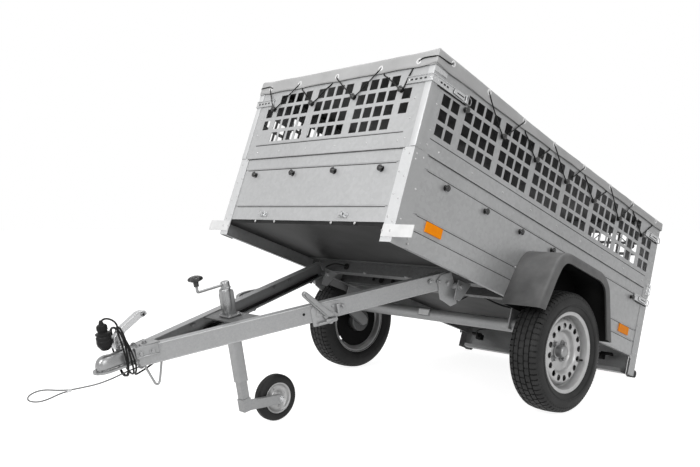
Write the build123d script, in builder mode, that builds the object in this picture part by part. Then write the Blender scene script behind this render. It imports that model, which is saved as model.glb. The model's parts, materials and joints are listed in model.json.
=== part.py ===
from build123d import *
import os
from math import asin, atan2, cos, degrees, hypot, pi, radians, sin, tan

# Single-axle tipping trailer with mesh sides and a flat cover, in millimetres.
# X is across the trailer (left is +X), Y runs to the rear and Z is up.
# It stands tipped: on its two wheels, on the rubber feet at the rear and on the jockey wheel.

# ---- wheels ----
tyre_dia = 547.0
tyre_width = 155.0
wheel_gap = 22.0               # between the bed's side and the tyre's inner wall
rim_dia = 365.0
disc_offset = 44.0             # disc face, from the middle plane of the tyre outwards
hub_dia = 66.0

# ---- bed ----
bed_width = 1172.0
bed_front = 1088.0             # from the wheel axis forward
bed_rear = 949.0               # from the wheel axis rearward
skirt_bottom = 160.0           # lower edge of the side panels, above the wheel axis
floor_top = 235.0
floor_thick = 15.0
box_top = 547.0                # seam between the box and the mesh sides
mesh_top = 940.0
sheet = 2.0                    # steel sheet
lip = 24.0                     # turned-in edge of a panel
post_front = 62.0              # corner post, seen from the front
post_side = 78.0               # corner post, seen from the side
post_sheet = 3.0
seat = 0.3                     # clearance of parts that rest on each other

# ---- mesh holes ----
hole = 48.0
hole_pitch = 61.0
hole_row_pitch = 65.0
hole_rows = 4
lowest_hole = 657.0            # middle of the lowest row
group_pitch = 270.0

# ---- feet ----
foot_radius = 20.0

# ---- drawbar ----
hinge_along = -505.0           # tip hinge, in the bed's frame
hinge_height = 140.0
pitch = 10.9                   # slope of the drawbar as it stands
leg_height = 70.0
leg_flange = 42.0
leg_sheet = 3.5
leg_rear = 34.0                # rear end of a leg, ahead of the hinge
leg_front = 1308.0             # front end of a leg, ahead of the hinge
leg_spread = 434.0             # outer face of a leg at its rear end
leg_close = 33.0               # outer face of a leg at its front end
hinge_pin = 16.0

# ---- jockey wheel ----
jockey_along = 875.0           # ahead of the hinge
jockey_tyre_dia = 200.0
jockey_tyre_width = 50.0
jockey_trail = 178.0           # wheel axle behind the jockey leg
jockey_side = -30.0            # wheel's middle, beside the jockey leg
jockey_tube = 44.0
jockey_leg_size = 34.0
jockey_wall = 3.0

# ---- tailgate ----
gate_hinge_along = 961.0
gate_hinge_height = 236.0

# ---- cables ----
cable_dia = 7.0
plug_along = 1411.0            # the lighting plug, ahead of the hinge
plug_radius = 28.0
rope_dia = 4.0

# ---- axle ----
axle_tube_dia = 60.0
axle_along = -160.0
axle_height = 60.0

parts = {}


def keep(name, builder):
    parts[name] = builder.part


half = bed_width / 2
inner = half - post_sheet               # outer face of the side panels
side_front = -bed_front + post_sheet
side_rear = bed_rear - post_sheet
tyre_side = half + wheel_gap            # from the middle of the trailer to the tyre's inner wall
wheel_radius = tyre_dia / 2
rear_post_bottom = 62.0
foot_along = bed_rear + 14.0
foot_height = rear_post_bottom + 15.0

# ---- frames: the bed is tipped until its feet stand on the ground ----
foot_reach = hypot(foot_along, foot_height)
tip = degrees(atan2(foot_height, foot_along) + asin((wheel_radius - foot_radius) / foot_reach))
bed = Plane(origin=(0, 0, wheel_radius), x_dir=(1, 0, 0), z_dir=(0, sin(radians(tip)), cos(radians(tip))))
hinge_point = bed.from_local_coords(Vector(0, hinge_along, hinge_height))
bar = Plane(origin=hinge_point, x_dir=(1, 0, 0), z_dir=(0, -sin(radians(pitch)), cos(radians(pitch))))


def level(frame, height):
    return frame.offset(height)


def across(frame, x):
    # looks along the trailer's side: local x runs rearward, local y up
    return Plane(origin=frame.from_local_coords(Vector(x, 0, 0)), x_dir=frame.y_dir, z_dir=frame.x_dir)


def facing(frame, along):
    # looks rearward: local x runs across, local y up, its normal points forward
    return Plane(origin=frame.from_local_coords(Vector(0, along, 0)), x_dir=frame.x_dir, z_dir=-frame.y_dir)


# ---- bed: side panels, a folded sheet with turned-in edges and pressed creases ----
crease = 3.0
creases = (240.0, 302.0, 488.0)


def folded(bottom, top, heights):
    outer = [(-lip, bottom), (0, bottom)]
    for height in heights:
        outer += [(0, height - 4), (-crease, height), (0, height + 4)]
    outer += [(0, top), (-lip, top)]
    inside = [(-lip, top - sheet), (-sheet, top - sheet)]
    for height in reversed(heights):
        inside += [(-sheet, height + 4), (-sheet - crease, height), (-sheet, height - 4)]
    inside += [(-sheet, bottom + sheet), (-lip, bottom + sheet)]
    return outer + inside


def folded_panel(plane, bottom, top, heights, length):
    with BuildPart() as panel:
        with BuildSketch(plane):
            with BuildLine():
                Polyline(*folded(bottom, top, heights), close=True)
            make_face()
        extrude(amount=-length)
    return panel


# a panel's profile is drawn on a plane whose local x points outwards
def outward(side, along):
    return Plane(
        origin=bed.from_local_coords(Vector(side * inner, along, 0)),
        x_dir=bed.x_dir * side,
        z_dir=-bed.y_dir * side,
    )


for side, name in ((1, "left"), (-1, "right")):
    start = side_front + post_sheet + seat if side > 0 else side_rear - seat
    length = side_rear - side_front - post_sheet - 2 * seat
    keep(f"side_panel_{name}", folded_panel(outward(side, start), skirt_bottom, box_top, creases, length))

# ---- bed: front panel between the posts ----
front_face = Plane(
    origin=bed.from_local_coords(Vector(-inner + lip + seat, -bed_front + post_sheet, 0)),
    x_dir=-bed.y_dir,
    z_dir=-bed.x_dir,
)
keep("front_panel", folded_panel(front_face, floor_top, box_top, (302.0, 488.0), 2 * (inner - lip - seat)))

# ---- bed: floor ----
with BuildPart(bed) as bed_floor:
    with Locations((0, (side_rear + side_front) / 2, floor_top - floor_thick / 2 - seat)):
        Box(2 * (inner - sheet - crease - seat), side_rear - side_front - 2 * post_sheet - 2 * seat, floor_thick)
keep("bed_floor", bed_floor)


# ---- bed: corner posts, angle section ----
def angle_post(side, end, bottom, top, front_width, side_width):
    # end is -1 at the front and 1 at the rear
    edge = -bed_front if end < 0 else bed_rear
    with BuildPart(level(bed, bottom)) as post:
        with BuildSketch(level(bed, bottom)):
            with BuildLine():
                Polyline(
                    (side * half, edge),
                    (side * (half - front_width), edge),
                    (side * (half - front_width), edge - end * post_sheet),
                    (side * (half - post_sheet), edge - end * post_sheet),
                    (side * (half - post_sheet), edge - end * side_width),
                    (side * half, edge - end * side_width),
                    close=True,
                )
            make_face()
        extrude(amount=top - bottom)
    return post


post_bottom = skirt_bottom - 4
with BuildPart() as front_posts:
    for side in (1, -1):
        add(angle_post(side, -1, post_bottom, box_top, post_front, post_side).part)
keep("front_posts", front_posts)
with BuildPart() as rear_posts:
    for side in (1, -1):
        add(angle_post(side, 1, rear_post_bottom, mesh_top, 44.0, 64.0).part)
keep("rear_posts", rear_posts)

# ---- bed: mesh sides ----
first_column = -bed_front + 107.0
first_group = -bed_front + 260.0
last_column = bed_rear - 158.0
side_columns = [first_column, first_column + hole_pitch]
for group in range(6):
    side_columns += [first_group + group * group_pitch + n * hole_pitch for n in range(4)]
side_columns += [last_column, last_column + hole_pitch]
front_columns = [group * 284.0 + (n - 1.5) * 63.0 for group in (-1, 0, 1) for n in range(4)]
rows = [lowest_hole + n * hole_row_pitch for n in range(hole_rows)]
mesh_bottom = box_top + seat
mesh_crease = 612.0


def mesh_side(side):
    outer = side * half
    with BuildPart() as panel:
        with BuildSketch(across(bed, outer)):
            with Locations(((bed_rear - 64.0 - seat - bed_front) / 2, (mesh_bottom + mesh_top) / 2)):
                Rectangle(bed_rear - 64.0 - seat + bed_front, mesh_top - mesh_bottom)
            columns = [(c, r) for c in side_columns[2:-2] for r in rows]
            columns += [(c, r) for c in side_columns[:2] + side_columns[-2:] for r in rows[:3]]
            with Locations(*columns):
                Rectangle(hole, hole, mode=Mode.SUBTRACT)
        extrude(amount=-side * sheet)
        # turned-in edges along the top and the bottom
        for height in (mesh_bottom + sheet / 2, mesh_top - sheet / 2):
            with BuildSketch(across(bed, outer)):
                with Locations(((bed_rear - 64.0 - seat - bed_front) / 2, height)):
                    Rectangle(bed_rear - 64.0 - seat + bed_front, sheet)
            extrude(amount=-side * lip)
    return panel


for side, name in ((1, "left"), (-1, "right")):
    keep(f"mesh_side_{name}", mesh_side(side))


def mesh_end(along, forward, width):
    with BuildPart() as panel:
        with BuildSketch(facing(bed, along)):
            with Locations((0, (mesh_bottom + mesh_top) / 2)):
                Rectangle(width, mesh_top - mesh_bottom)
            columns = [(c, r) for c in front_columns for r in rows]
            columns += [(side * 463.0, r) for side in (1, -1) for r in rows[1:3]]
            with Locations(*columns):
                Rectangle(hole, hole, mode=Mode.SUBTRACT)
        extrude(amount=-forward * sheet)
        for height in (mesh_bottom + sheet / 2, mesh_top - sheet / 2):
            with BuildSketch(facing(bed, along)):
                with Locations((0, height)):
                    Rectangle(width, sheet)
            extrude(amount=-forward * lip)
    return panel


keep("mesh_front", mesh_end(-bed_front, 1, 2 * (half - lip - seat)))
keep("mesh_rear", mesh_end(bed_rear, -1, 2 * (half - 44.0 - seat)))

# ---- load cover: a shallow cap over the mesh sides ----
cover_gap = 1.0
cover_thick = 4.0
cover_drop = 44.0
cover_out = half + cover_gap + cover_thick
cover_length = bed_rear + bed_front + 2 * (cover_gap + cover_thick)
cover_middle = (bed_rear - bed_front) / 2
with BuildPart(bed) as load_cover:
    with Locations((0, cover_middle, mesh_top + seat + (cover_thick - cover_drop) / 2)):
        Box(2 * cover_out, cover_length, cover_thick + cover_drop)
    with Locations((0, cover_middle, mesh_top + seat - cover_drop / 2)):
        Box(
            2 * (cover_out - cover_thick),
            cover_length - 2 * cover_thick,
            cover_drop,
            mode=Mode.SUBTRACT,
        )
keep("load_cover", load_cover)

# ---- tailgate, hinged at the floor ----
gate_bottom = floor_top + 6.0
gate_width = 2 * (half - 44.0) - 10.0
gate_face = Plane(
    origin=bed.from_local_coords(Vector(gate_width / 2, bed_rear - 1, 0)),
    x_dir=bed.y_dir,
    z_dir=bed.x_dir,
)
keep("tailgate", folded_panel(gate_face, gate_bottom, box_top - 6, (302.0, 488.0), gate_width))

gate_hinge_side = 268.0
knuckle_length = 50.0
knuckle_radius = 8.0
gate_pin = 8.0
with BuildPart() as tailgate_knuckles:
    for side in (1, -1):
        with BuildSketch(across(bed, side * gate_hinge_side - knuckle_length / 2)):
            with Locations((gate_hinge_along, gate_hinge_height)):
                Circle(knuckle_radius)
            with Locations((bed_rear - 1 + seat + 2, gate_hinge_height + 40)):
                Rectangle(4, 64)
            with BuildLine():
                Polyline(
                    (bed_rear - 1 + seat, gate_hinge_height + knuckle_radius),
                    (gate_hinge_along - 7.5, gate_hinge_height + 2),
                    (gate_hinge_along + 3, gate_hinge_height + 2),
                    (gate_hinge_along + 5, gate_hinge_height + 6),
                    (bed_rear + 3 + seat, gate_hinge_height + 22),
                    (bed_rear - 1 + seat, gate_hinge_height + 22),
                    close=True,
                )
            make_face()
            with Locations((gate_hinge_along, gate_hinge_height)):
                Circle(gate_pin / 2 + 0.05, mode=Mode.SUBTRACT)
        extrude(amount=knuckle_length)
keep("tailgate_knuckles", tailgate_knuckles)

# ---- rear crossbar, a channel below the floor that carries the lamps ----
bar_bottom = 66.0
bar_front = bed_rear - 66.0
bar_top = floor_top - floor_thick - 2 * seat
with BuildPart() as rear_crossbar:
    with BuildSketch(across(bed, -half + 46.0)):
        with BuildLine():
            Polyline(
                (bar_front, bar_bottom + 20),
                (bar_front, bar_bottom),
                (bed_rear - 2, bar_bottom),
                (bed_rear - 2, bar_top),
                (bar_front, bar_top),
                (bar_front, bar_top - sheet),
                (bed_rear - 2 - sheet, bar_top - sheet),
                (bed_rear - 2 - sheet, bar_bottom + sheet),
                (bar_front + sheet, bar_bottom + sheet),
                (bar_front + sheet, bar_bottom + 20),
                close=True,
            )
        make_face()
    extrude(amount=bed_width - 92.0)
keep("rear_crossbar", rear_crossbar)

with BuildPart() as tailgate_hinges:
    for side in (1, -1):
        for end in (-1, 1):
            with BuildSketch(across(bed, side * gate_hinge_side + end * (knuckle_length / 2 + 3) - 2)):
                with Locations((gate_hinge_along, gate_hinge_height)):
                    Circle(knuckle_radius)
                with BuildLine():
                    Polyline(
                        (bed_rear - 2 + seat, bar_top - 40),
                        (bed_rear - 2 + seat + 4, bar_top - 40),
                        (gate_hinge_along + 6, gate_hinge_height - 6),
                        (gate_hinge_along - 7, gate_hinge_height - 2),
                        (bed_rear - 2 + seat, bar_top + 2),
                        close=True,
                    )
                make_face()
            extrude(amount=4)
        with BuildSketch(across(bed, side * gate_hinge_side - knuckle_length / 2 - 8)):
            with Locations((gate_hinge_along, gate_hinge_height)):
                Circle(gate_pin / 2)
        extrude(amount=knuckle_length + 16)
        with BuildSketch(facing(bed, bed_rear - 2 + seat)):
            with Locations((side * gate_hinge_side, bar_top - 22)):
                Rectangle(knuckle_length + 14, 36)
        extrude(amount=-4)
keep("tailgate_hinges", tailgate_hinges)

# ---- crossmembers under the floor ----
cross_half = inner - sheet - seat
member_top = floor_top - floor_thick - 2 * seat
member_height = 55.0
for name, along, depth in (("hinge_crossmember", -480.0, 60.0), ("axle_crossmember", -250.0, 50.0)):
    top = member_top
    height = member_height
    with BuildPart() as member:
        with BuildSketch(across(bed, -cross_half)):
            with BuildLine():
                Polyline(
                    (along - 40, top),
                    (along + depth, top),
                    (along + depth, top - sheet),
                    (along + sheet, top - sheet),
                    (along + sheet, top - height + sheet),
                    (along + depth, top - height + sheet),
                    (along + depth, top - height),
                    (along, top - height),
                    (along, top - sheet),
                    (along - 40, top - sheet),
                    close=True,
                )
            make_face()
        extrude(amount=2 * cross_half)
    keep(name, member)

# ---- tip hinge: brackets under the hinge crossmember, with the pins ----
hinge_side = leg_spread + 9.0  # middle of each hinge, from the middle of the trailer
bracket_sheet = 5.0
bracket_gap = 62.0             # between the two cheeks
cheek_top = member_top - member_height - seat
with BuildPart() as hinge_brackets:
    for side in (1, -1):
        for cheek in (-bracket_gap / 2 - bracket_sheet, bracket_gap / 2):
            with BuildSketch(across(bed, side * hinge_side + cheek)):
                with BuildLine():
                    Polyline(
                        (hinge_along - 20, cheek_top),
                        (hinge_along - 20, 78),
                        (hinge_along + 19, 80),
                        (hinge_along + 68, cheek_top),
                        close=True,
                    )
                make_face()
            extrude(amount=bracket_sheet)
        with BuildSketch(across(bed, side * hinge_side - bracket_gap / 2 - bracket_sheet - 6)):
            with Locations((hinge_along, hinge_height)):
                Circle(hinge_pin / 2)
        extrude(amount=bracket_gap + 2 * bracket_sheet + 12)
keep("hinge_brackets", hinge_brackets)

# ---- axle: a tube with end plates up to the side panels, and swing arms with the spindles ----
arm_side = half + 2.0           # middle of a swing arm
arm_width = 24.0
with BuildPart() as axle_tube:
    with BuildSketch(across(bed, -arm_side + arm_width / 2 + seat)):
        with Locations((axle_along, axle_height)):
            Circle(axle_tube_dia / 2)
    extrude(amount=2 * (arm_side - arm_width / 2 - seat))
    for side in (1, -1):
        with BuildSketch(across(bed, side * (half - 38))):
            with Locations((axle_along, (axle_height + skirt_bottom) / 2 - 12)):
                Rectangle(96, skirt_bottom - axle_height + 24 - 2 * seat)
        extrude(amount=6 * side)
        with Locations(bed.location):
            with Locations((side * (half - 24), axle_along, skirt_bottom - seat - 2.5)):
                Box(36, 120, 5)
keep("axle_tube", axle_tube)

spindle_dia = 30.0
with BuildPart() as swing_arms:
    for side in (1, -1):
        plane = across(bed, side * arm_side - arm_width / 2)
        with BuildSketch(plane):
            with BuildLine():
                Polyline(
                    (axle_along - 12, axle_height + 34),
                    (axle_along - 34, axle_height),
                    (axle_along - 12, axle_height - 34),
                    (0, -26),
                    (22, -10),
                    (22, 14),
                    (4, 28),
                    close=True,
                )
            make_face()
        extrude(amount=arm_width)
        with BuildSketch(across(bed, side * arm_side)):
            Circle(spindle_dia / 2)
        extrude(amount=side * (tyre_side + tyre_width / 2 + disc_offset + 4 - arm_side))
keep("swing_arms", swing_arms)

# ---- wheels: tyre, rim and hub, turned about the spindle ----
spindle_gap = 0.05
rim_out = tyre_side + tyre_width - 12.0
rim_in = tyre_side + 12.0
rim_radius = rim_dia / 2
bead_radius = 166.0
drop_radius = 146.0
disc = tyre_side + tyre_width / 2 + disc_offset
vent_circle = 118.0
vent_count = 16
vent_dia = 19.0
axle_line = Axis((0, 0, wheel_radius), (1, 0, 0))


def wheel_plane(side):
    # local x runs outwards along the axle, local y is the radius
    return Plane(origin=(0, 0, wheel_radius), x_dir=(side, 0, 0), z_dir=(0, -side, 0))


for side, name in ((1, "left"), (-1, "right")):
    with BuildPart() as tyre:
        with BuildSketch(wheel_plane(side)):
            with BuildLine():
                tyre_middle = tyre_side + tyre_width / 2
                wall_radius = (rim_dia + tyre_dia) / 4 + 4
                bead_in = (rim_in + 4 + seat, rim_radius + 2)
                bead_out = (rim_out - 4 - seat, rim_radius + 2)
                shoulder_in = (tyre_side + 14, wheel_radius - 9)
                shoulder_out = (tyre_side + tyre_width - 14, wheel_radius - 9)
                ThreePointArc(bead_in, (tyre_side, wall_radius), shoulder_in)
                ThreePointArc(shoulder_in, (tyre_middle, wheel_radius), shoulder_out)
                ThreePointArc(shoulder_out, (tyre_side + tyre_width, wall_radius), bead_out)
                Polyline(
                    bead_out,
                    (rim_out - 6 - 2 * seat, bead_radius + 3 + 2 * seat),
                    (rim_out - 30, bead_radius + 2 * seat),
                    (rim_in + 30, bead_radius + 2 * seat),
                    (rim_in + 6 + 2 * seat, bead_radius + 3 + 2 * seat),
                    bead_in,
                )
            make_face()
        revolve(axis=axle_line)
    keep(f"tyre_{name}", tyre)
    with BuildPart() as rim:
        with BuildSketch(wheel_plane(side)):
            with BuildLine():
                Polyline(
                    (rim_in, rim_radius),
                    (rim_in + 4, rim_radius),
                    (rim_in + 6, bead_radius + 3),
                    (rim_in + 30, bead_radius),
                    (rim_in + 40, drop_radius),
                    (rim_out - 40, drop_radius),
                    (rim_out - 30, bead_radius),
                    (rim_out - 6, bead_radius + 3),
                    (rim_out - 4, rim_radius),
                    (rim_out, rim_radius),
                    (rim_out, rim_radius - 4),
                    (rim_out - 3, bead_radius - 1),
                    (rim_out - 27, bead_radius - 4),
                    (rim_out - 37, drop_radius - 4),
                    (rim_in + 37, drop_radius - 4),
                    (rim_in + 27, bead_radius - 4),
                    (rim_in + 3, bead_radius - 1),
                    (rim_in, rim_radius - 4),
                    close=True,
                )
            make_face()
            with BuildLine():
                Polyline(
                    (disc - 20, drop_radius - 3),
                    (disc - 4, 134),
                    (disc + 2, 122),
                    (disc + 1, 104),
                    (disc - 12, 84),
                    (disc - 16, 66),
                    (disc - 16, hub_dia / 2 + 0.2),
                    (disc - 20, hub_dia / 2 + 0.2),
                    (disc - 20, 67),
                    (disc - 16, 86),
                    (disc - 3, 105),
                    (disc - 2, 121),
                    (disc - 7, 131),
                    (disc - 24, drop_radius - 3),
                    close=True,
                )
            make_face()
        revolve(axis=axle_line)
        with BuildSketch(across(Plane(origin=(0, 0, wheel_radius)), side * (disc - 30))):
            with PolarLocations(vent_circle, vent_count):
                Circle(vent_dia / 2)
        extrude(amount=side * 50, mode=Mode.SUBTRACT)
    keep(f"rim_{name}", rim)
    with BuildPart() as hub:
        with BuildSketch(wheel_plane(side)):
            with BuildLine():
                Polyline(
                    (arm_side + arm_width / 2 + 5, spindle_dia / 2 + spindle_gap),
                    (arm_side + arm_width / 2 + 5, 50),
                    (disc - 30, 50),
                    (disc - 30, 62),
                    (disc - 20 - seat, 62),
                    (disc - 20 - seat, hub_dia / 2 - 0.1),
                    (disc - 8, hub_dia / 2 - 0.1),
                    (disc - 8, hub_dia / 2 - 3),
                    (disc + 4, hub_dia / 2 - 6),
                    (disc + 9, 12),
                    (disc + 9, 0),
                    (disc + 5, 0),
                    (disc + 5, spindle_dia / 2 + spindle_gap),
                    close=True,
                )
            make_face()
        revolve(axis=axle_line)
    keep(f"hub_{name}", hub)

# ---- mudguards: a flat-topped arch with an outer skirt ----
guard_out = tyre_side + tyre_width + 19.0
guard_wall = 4.0
guard_inner_side = inner + seat
guard_outline = [(-316, 122), (-300, 290), (-246, 388), (-206, 406), (80, 406), (196, 350), (305, 122)]
skirt_depth = 38.0


def arch(inset):
    left, right = guard_outline[0], guard_outline[-1]
    scale_x = [p[0] * (1 - inset / 306) for p in guard_outline]
    points = [(x, p[1] - inset if 0 < i < len(guard_outline) - 1 else p[1]) for i, (x, p) in enumerate(zip(scale_x, guard_outline))]
    return points


for side, name in ((1, "left"), (-1, "right")):
    with BuildPart() as mudguard:
        with BuildSketch(across(bed, side * guard_inner_side)):
            with BuildLine():
                Polyline(*guard_outline, close=True)
            make_face()
        extrude(amount=side * (guard_out - guard_inner_side))
        with BuildSketch(across(bed, side * guard_inner_side)):
            with BuildLine():
                Polyline(*arch(guard_wall), close=True)
            make_face()
        extrude(amount=side * (guard_out - guard_wall - guard_inner_side), mode=Mode.SUBTRACT)
        with BuildSketch(across(bed, side * guard_inner_side)):
            with BuildLine():
                Polyline(*arch(skirt_depth), close=True)
            make_face()
        extrude(amount=side * (guard_out + 5 - guard_inner_side), mode=Mode.SUBTRACT)
    keep(f"mudguard_{name}", mudguard)

# ---- rubber feet, marker plates, reflectors and lamps ----
with BuildPart() as rear_feet:
    for side in (1, -1):
        with BuildSketch(across(bed, side * (half - 2))):
            with Locations((foot_along, foot_height)):
                Circle(foot_radius)
            # the foot wraps round the lower corner of the post
            with Locations((bed_rear + seat - foot_radius, rear_post_bottom - seat + foot_radius)):
                Rectangle(2 * foot_radius, 2 * foot_radius, mode=Mode.SUBTRACT)
        extrude(amount=-side * 40)
keep("rear_feet", rear_feet)

with BuildPart() as marker_plates:
    for side in (1, -1):
        with BuildSketch(facing(bed, -bed_front - seat)):
            with Locations((side * (half + 21), 200.0)):
                Rectangle(162, 50)
        extrude(amount=3)
keep("marker_plates", marker_plates)

with BuildPart() as side_reflectors:
    for side in (1, -1):
        for along in (-bed_front + 216, bed_rear - 199):
            with BuildSketch(across(bed, side * (inner + seat))):
                with Locations((along, 275.0)):
                    Rectangle(100, 42)
            extrude(amount=side * 6)
keep("side_reflectors", side_reflectors)

with BuildPart() as tail_lamps:
    for side in (1, -1):
        with BuildSketch(facing(bed, bed_rear - 2 + seat)):
            with Locations((side * (half - 161), 140.0)):
                Rectangle(210, 96)
        extrude(amount=-30)
keep("tail_lamps", tail_lamps)

# ---- drawbar: two channel legs, open inwards, that meet at the coupling ----
leg_span = leg_front - leg_rear
leg_slope = (leg_spread - leg_close) / leg_span


def leg_edge(ahead, inset):
    # across the trailer, of a line parallel to the leg's outer face
    return leg_spread - (ahead - leg_rear) * leg_slope - inset * hypot(1, leg_slope)


def leg_strip(outer_inset, inner_inset, side):
    # plan of a strip along a leg, cut off in the middle of the trailer
    meet = leg_rear + (leg_spread - inner_inset * hypot(1, leg_slope) - seat / 2) / leg_slope
    return [
        (side * leg_edge(leg_rear, outer_inset), -leg_rear),
        (side * leg_edge(leg_front, outer_inset), -leg_front),
        (side * seat / 2, -leg_front),
        (side * seat / 2, -meet),
        (side * leg_edge(leg_rear, inner_inset), -leg_rear),
    ]


for side, name in ((1, "left"), (-1, "right")):
    with BuildPart() as leg:
        with BuildSketch(bar):
            with BuildLine():
                Polyline(*leg_strip(0, leg_flange, side), close=True)
            make_face()
        extrude(amount=leg_height)
        with BuildSketch(bar.offset(leg_sheet)):
            with BuildLine():
                Polyline(
                    (side * leg_edge(leg_rear - 5, leg_sheet), -leg_rear + 5),
                    (side * leg_edge(leg_front - 40, leg_sheet), -leg_front + 40),
                    (-side * 200, -leg_front + 40),
                    (-side * 200, -leg_rear + 5),
                    close=True,
                )
            make_face()
        extrude(amount=leg_height - 2 * leg_sheet, mode=Mode.SUBTRACT)
    keep(f"drawbar_leg_{name}", leg)


def leg_face(side, ahead):
    # on the outer face of a leg: local x runs rearward along it, local y up, its normal outwards or inwards
    return Plane(
        origin=bar.from_local_coords(Vector(side * (leg_edge(ahead, 0) + seat / 3), -ahead, 0)),
        x_dir=bar.y_dir + bar.x_dir * (side * leg_slope),
        z_dir=bar.x_dir - bar.y_dir * (side * leg_slope),
    )


# ---- drawbar: end plates with the hinge tubes ----
plate_sheet = 5.0
hinge_tube = 32.0
with BuildPart() as leg_end_plates:
    for side in (1, -1):
        with BuildSketch(leg_face(side, 0)):
            with BuildLine():
                Polyline(
                    (-65, leg_height - 6),
                    (-83, leg_height - 24),
                    (-82, -40),
                    (-34, -83),
                    (-2, -77),
                    (4, -18),
                    (-10, leg_height - 4),
                    close=True,
                )
            make_face()
        extrude(amount=side * plate_sheet)
        with BuildSketch(across(bar, side * (hinge_side - bracket_gap / 2 + 2))):
            Circle(hinge_tube / 2)
        extrude(amount=side * (bracket_gap - 4))
        with BuildSketch(across(bar, side * (hinge_side - bracket_gap / 2 - 10))):
            Circle(hinge_pin / 2 + spindle_gap)
        extrude(amount=side * (bracket_gap + 20), mode=Mode.SUBTRACT)
keep("leg_end_plates", leg_end_plates)

# ---- drawbar: cross plate that carries the jockey wheel ----
plate_depth = 112.0
plate_under = leg_height - leg_sheet - seat - 5
near = leg_edge(jockey_along - plate_depth / 2, leg_sheet + 1)
far = leg_edge(jockey_along + plate_depth / 2, leg_sheet + 1)
with BuildPart() as cross_plate:
    with BuildSketch(bar.offset(plate_under)):
        with BuildLine():
            Polyline(
                (near, -jockey_along + plate_depth / 2),
                (far, -jockey_along - plate_depth / 2),
                (-far, -jockey_along - plate_depth / 2),
                (-near, -jockey_along + plate_depth / 2),
                close=True,
            )
        make_face()
        with Locations((0, -jockey_along)):
            Rectangle(jockey_tube + 2 * seat, jockey_tube + 2 * seat, mode=Mode.SUBTRACT)
    extrude(amount=5)
keep("cross_plate", cross_plate)

# ---- jockey wheel ----
jockey_top = leg_height + 112
jockey_low = -212.0
jockey_point = bar.from_local_coords(Vector(0, -jockey_along, 0))
jockey_bore = jockey_tube - 2 * jockey_wall
guide_gap = 0.5
guide_length = 25.0
stand_cap = 18.0               # radius of the round cap on top
with BuildPart() as jockey_stand:
    with BuildSketch(bar.offset(jockey_low)):
        with Locations((0, -jockey_along)):
            Rectangle(jockey_tube, jockey_tube)
            Rectangle(jockey_bore, jockey_bore, mode=Mode.SUBTRACT)
    extrude(amount=jockey_top - jockey_low)
    # the lower end is drawn in to guide the leg
    with BuildSketch(bar.offset(jockey_low)):
        with Locations((0, -jockey_along)):
            Rectangle(jockey_tube, jockey_tube)
            Rectangle(jockey_leg_size + 2 * guide_gap, jockey_leg_size + 2 * guide_gap, mode=Mode.SUBTRACT)
    extrude(amount=guide_length)
    with BuildSketch(bar.offset(jockey_top)):
        with Locations((0, -jockey_along)):
            Rectangle(jockey_tube, jockey_tube)
    extrude(amount=4)
    with BuildSketch(bar.offset(jockey_top + 4)):
        with Locations((0, -jockey_along)):
            Circle(stand_cap)
    extrude(amount=26)
    with BuildSketch(bar.offset(plate_under + 5)):
        with Locations((0, -jockey_along)):
            Rectangle(jockey_tube + 32, jockey_tube + 16)
            Rectangle(jockey_tube, jockey_tube, mode=Mode.SUBTRACT)
    extrude(amount=8)
keep("jockey_stand", jockey_stand)

crank_height = jockey_top + 18
crank_reach = 130.0
crank_rod = 6.0
knob_radius = 26.0
knob_height = 32.0
with BuildPart() as jockey_crank:
    with BuildSketch(facing(bar, -jockey_along - stand_cap - seat)):
        with Locations((0, crank_height)):
            Circle(crank_rod)
    extrude(amount=crank_reach - stand_cap - seat)
    # the elbow is a ball between the rod and its upright end
    with Locations(Location(bar.from_local_coords(Vector(0, -jockey_along - crank_reach, crank_height)))):
        Sphere(crank_rod + 1)
    with BuildSketch(bar.offset(crank_height)):
        with Locations((0, -jockey_along - crank_reach)):
            Circle(crank_rod)
    extrude(amount=31)
    with BuildSketch(bar.offset(crank_height + 30)):
        with Locations((0, -jockey_along - crank_reach)):
            Circle(knob_radius)
    extrude(amount=knob_height)
keep("jockey_crank", jockey_crank)

# the leg reaches down to the height of the wheel's axle
jockey_axle_z = jockey_tyre_dia / 2
slope = radians(pitch)
leg_line_drop = (jockey_point.Z - jockey_axle_z) / cos(slope)
jockey_foot = -leg_line_drop
foot_point = bar.from_local_coords(Vector(0, -jockey_along, jockey_foot))
with BuildPart() as jockey_leg:
    with BuildSketch(bar.offset(jockey_foot + 30 + seat)):
        with Locations((0, -jockey_along)):
            Rectangle(jockey_leg_size, jockey_leg_size)
    extrude(amount=60 - jockey_foot)
    with BuildSketch(bar.offset(jockey_foot - 24)):
        with Locations((0, -jockey_along)):
            Circle(9)
    extrude(amount=60)
keep("jockey_leg", jockey_leg)

caster = Plane(origin=foot_point, x_dir=(1, 0, 0), z_dir=(0, 0, 1))
arm_face = jockey_side + jockey_tyre_width / 2 + 5
with BuildPart() as jockey_arm:
    with BuildSketch(bar.offset(jockey_foot - 23)):
        with Locations((0, -jockey_along)):
            Rectangle(40, 40)
    extrude(amount=53)
    with BuildSketch(across(caster, arm_face)):
        with Locations((jockey_trail / 2 + 4, 0)):
            SlotCenterToCenter(jockey_trail - 24, 40)
    extrude(amount=20)
    with BuildSketch(across(caster, arm_face + 20)):
        with Locations((jockey_trail, 0)):
            Circle(8)
    extrude(amount=-(20 + 5 + jockey_tyre_width + 4))
    with BuildSketch(bar.offset(jockey_foot - 30)):
        with Locations((0, -jockey_along)):
            Circle(9 + spindle_gap)
    extrude(amount=70, mode=Mode.SUBTRACT)
keep("jockey_arm", jockey_arm)

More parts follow.
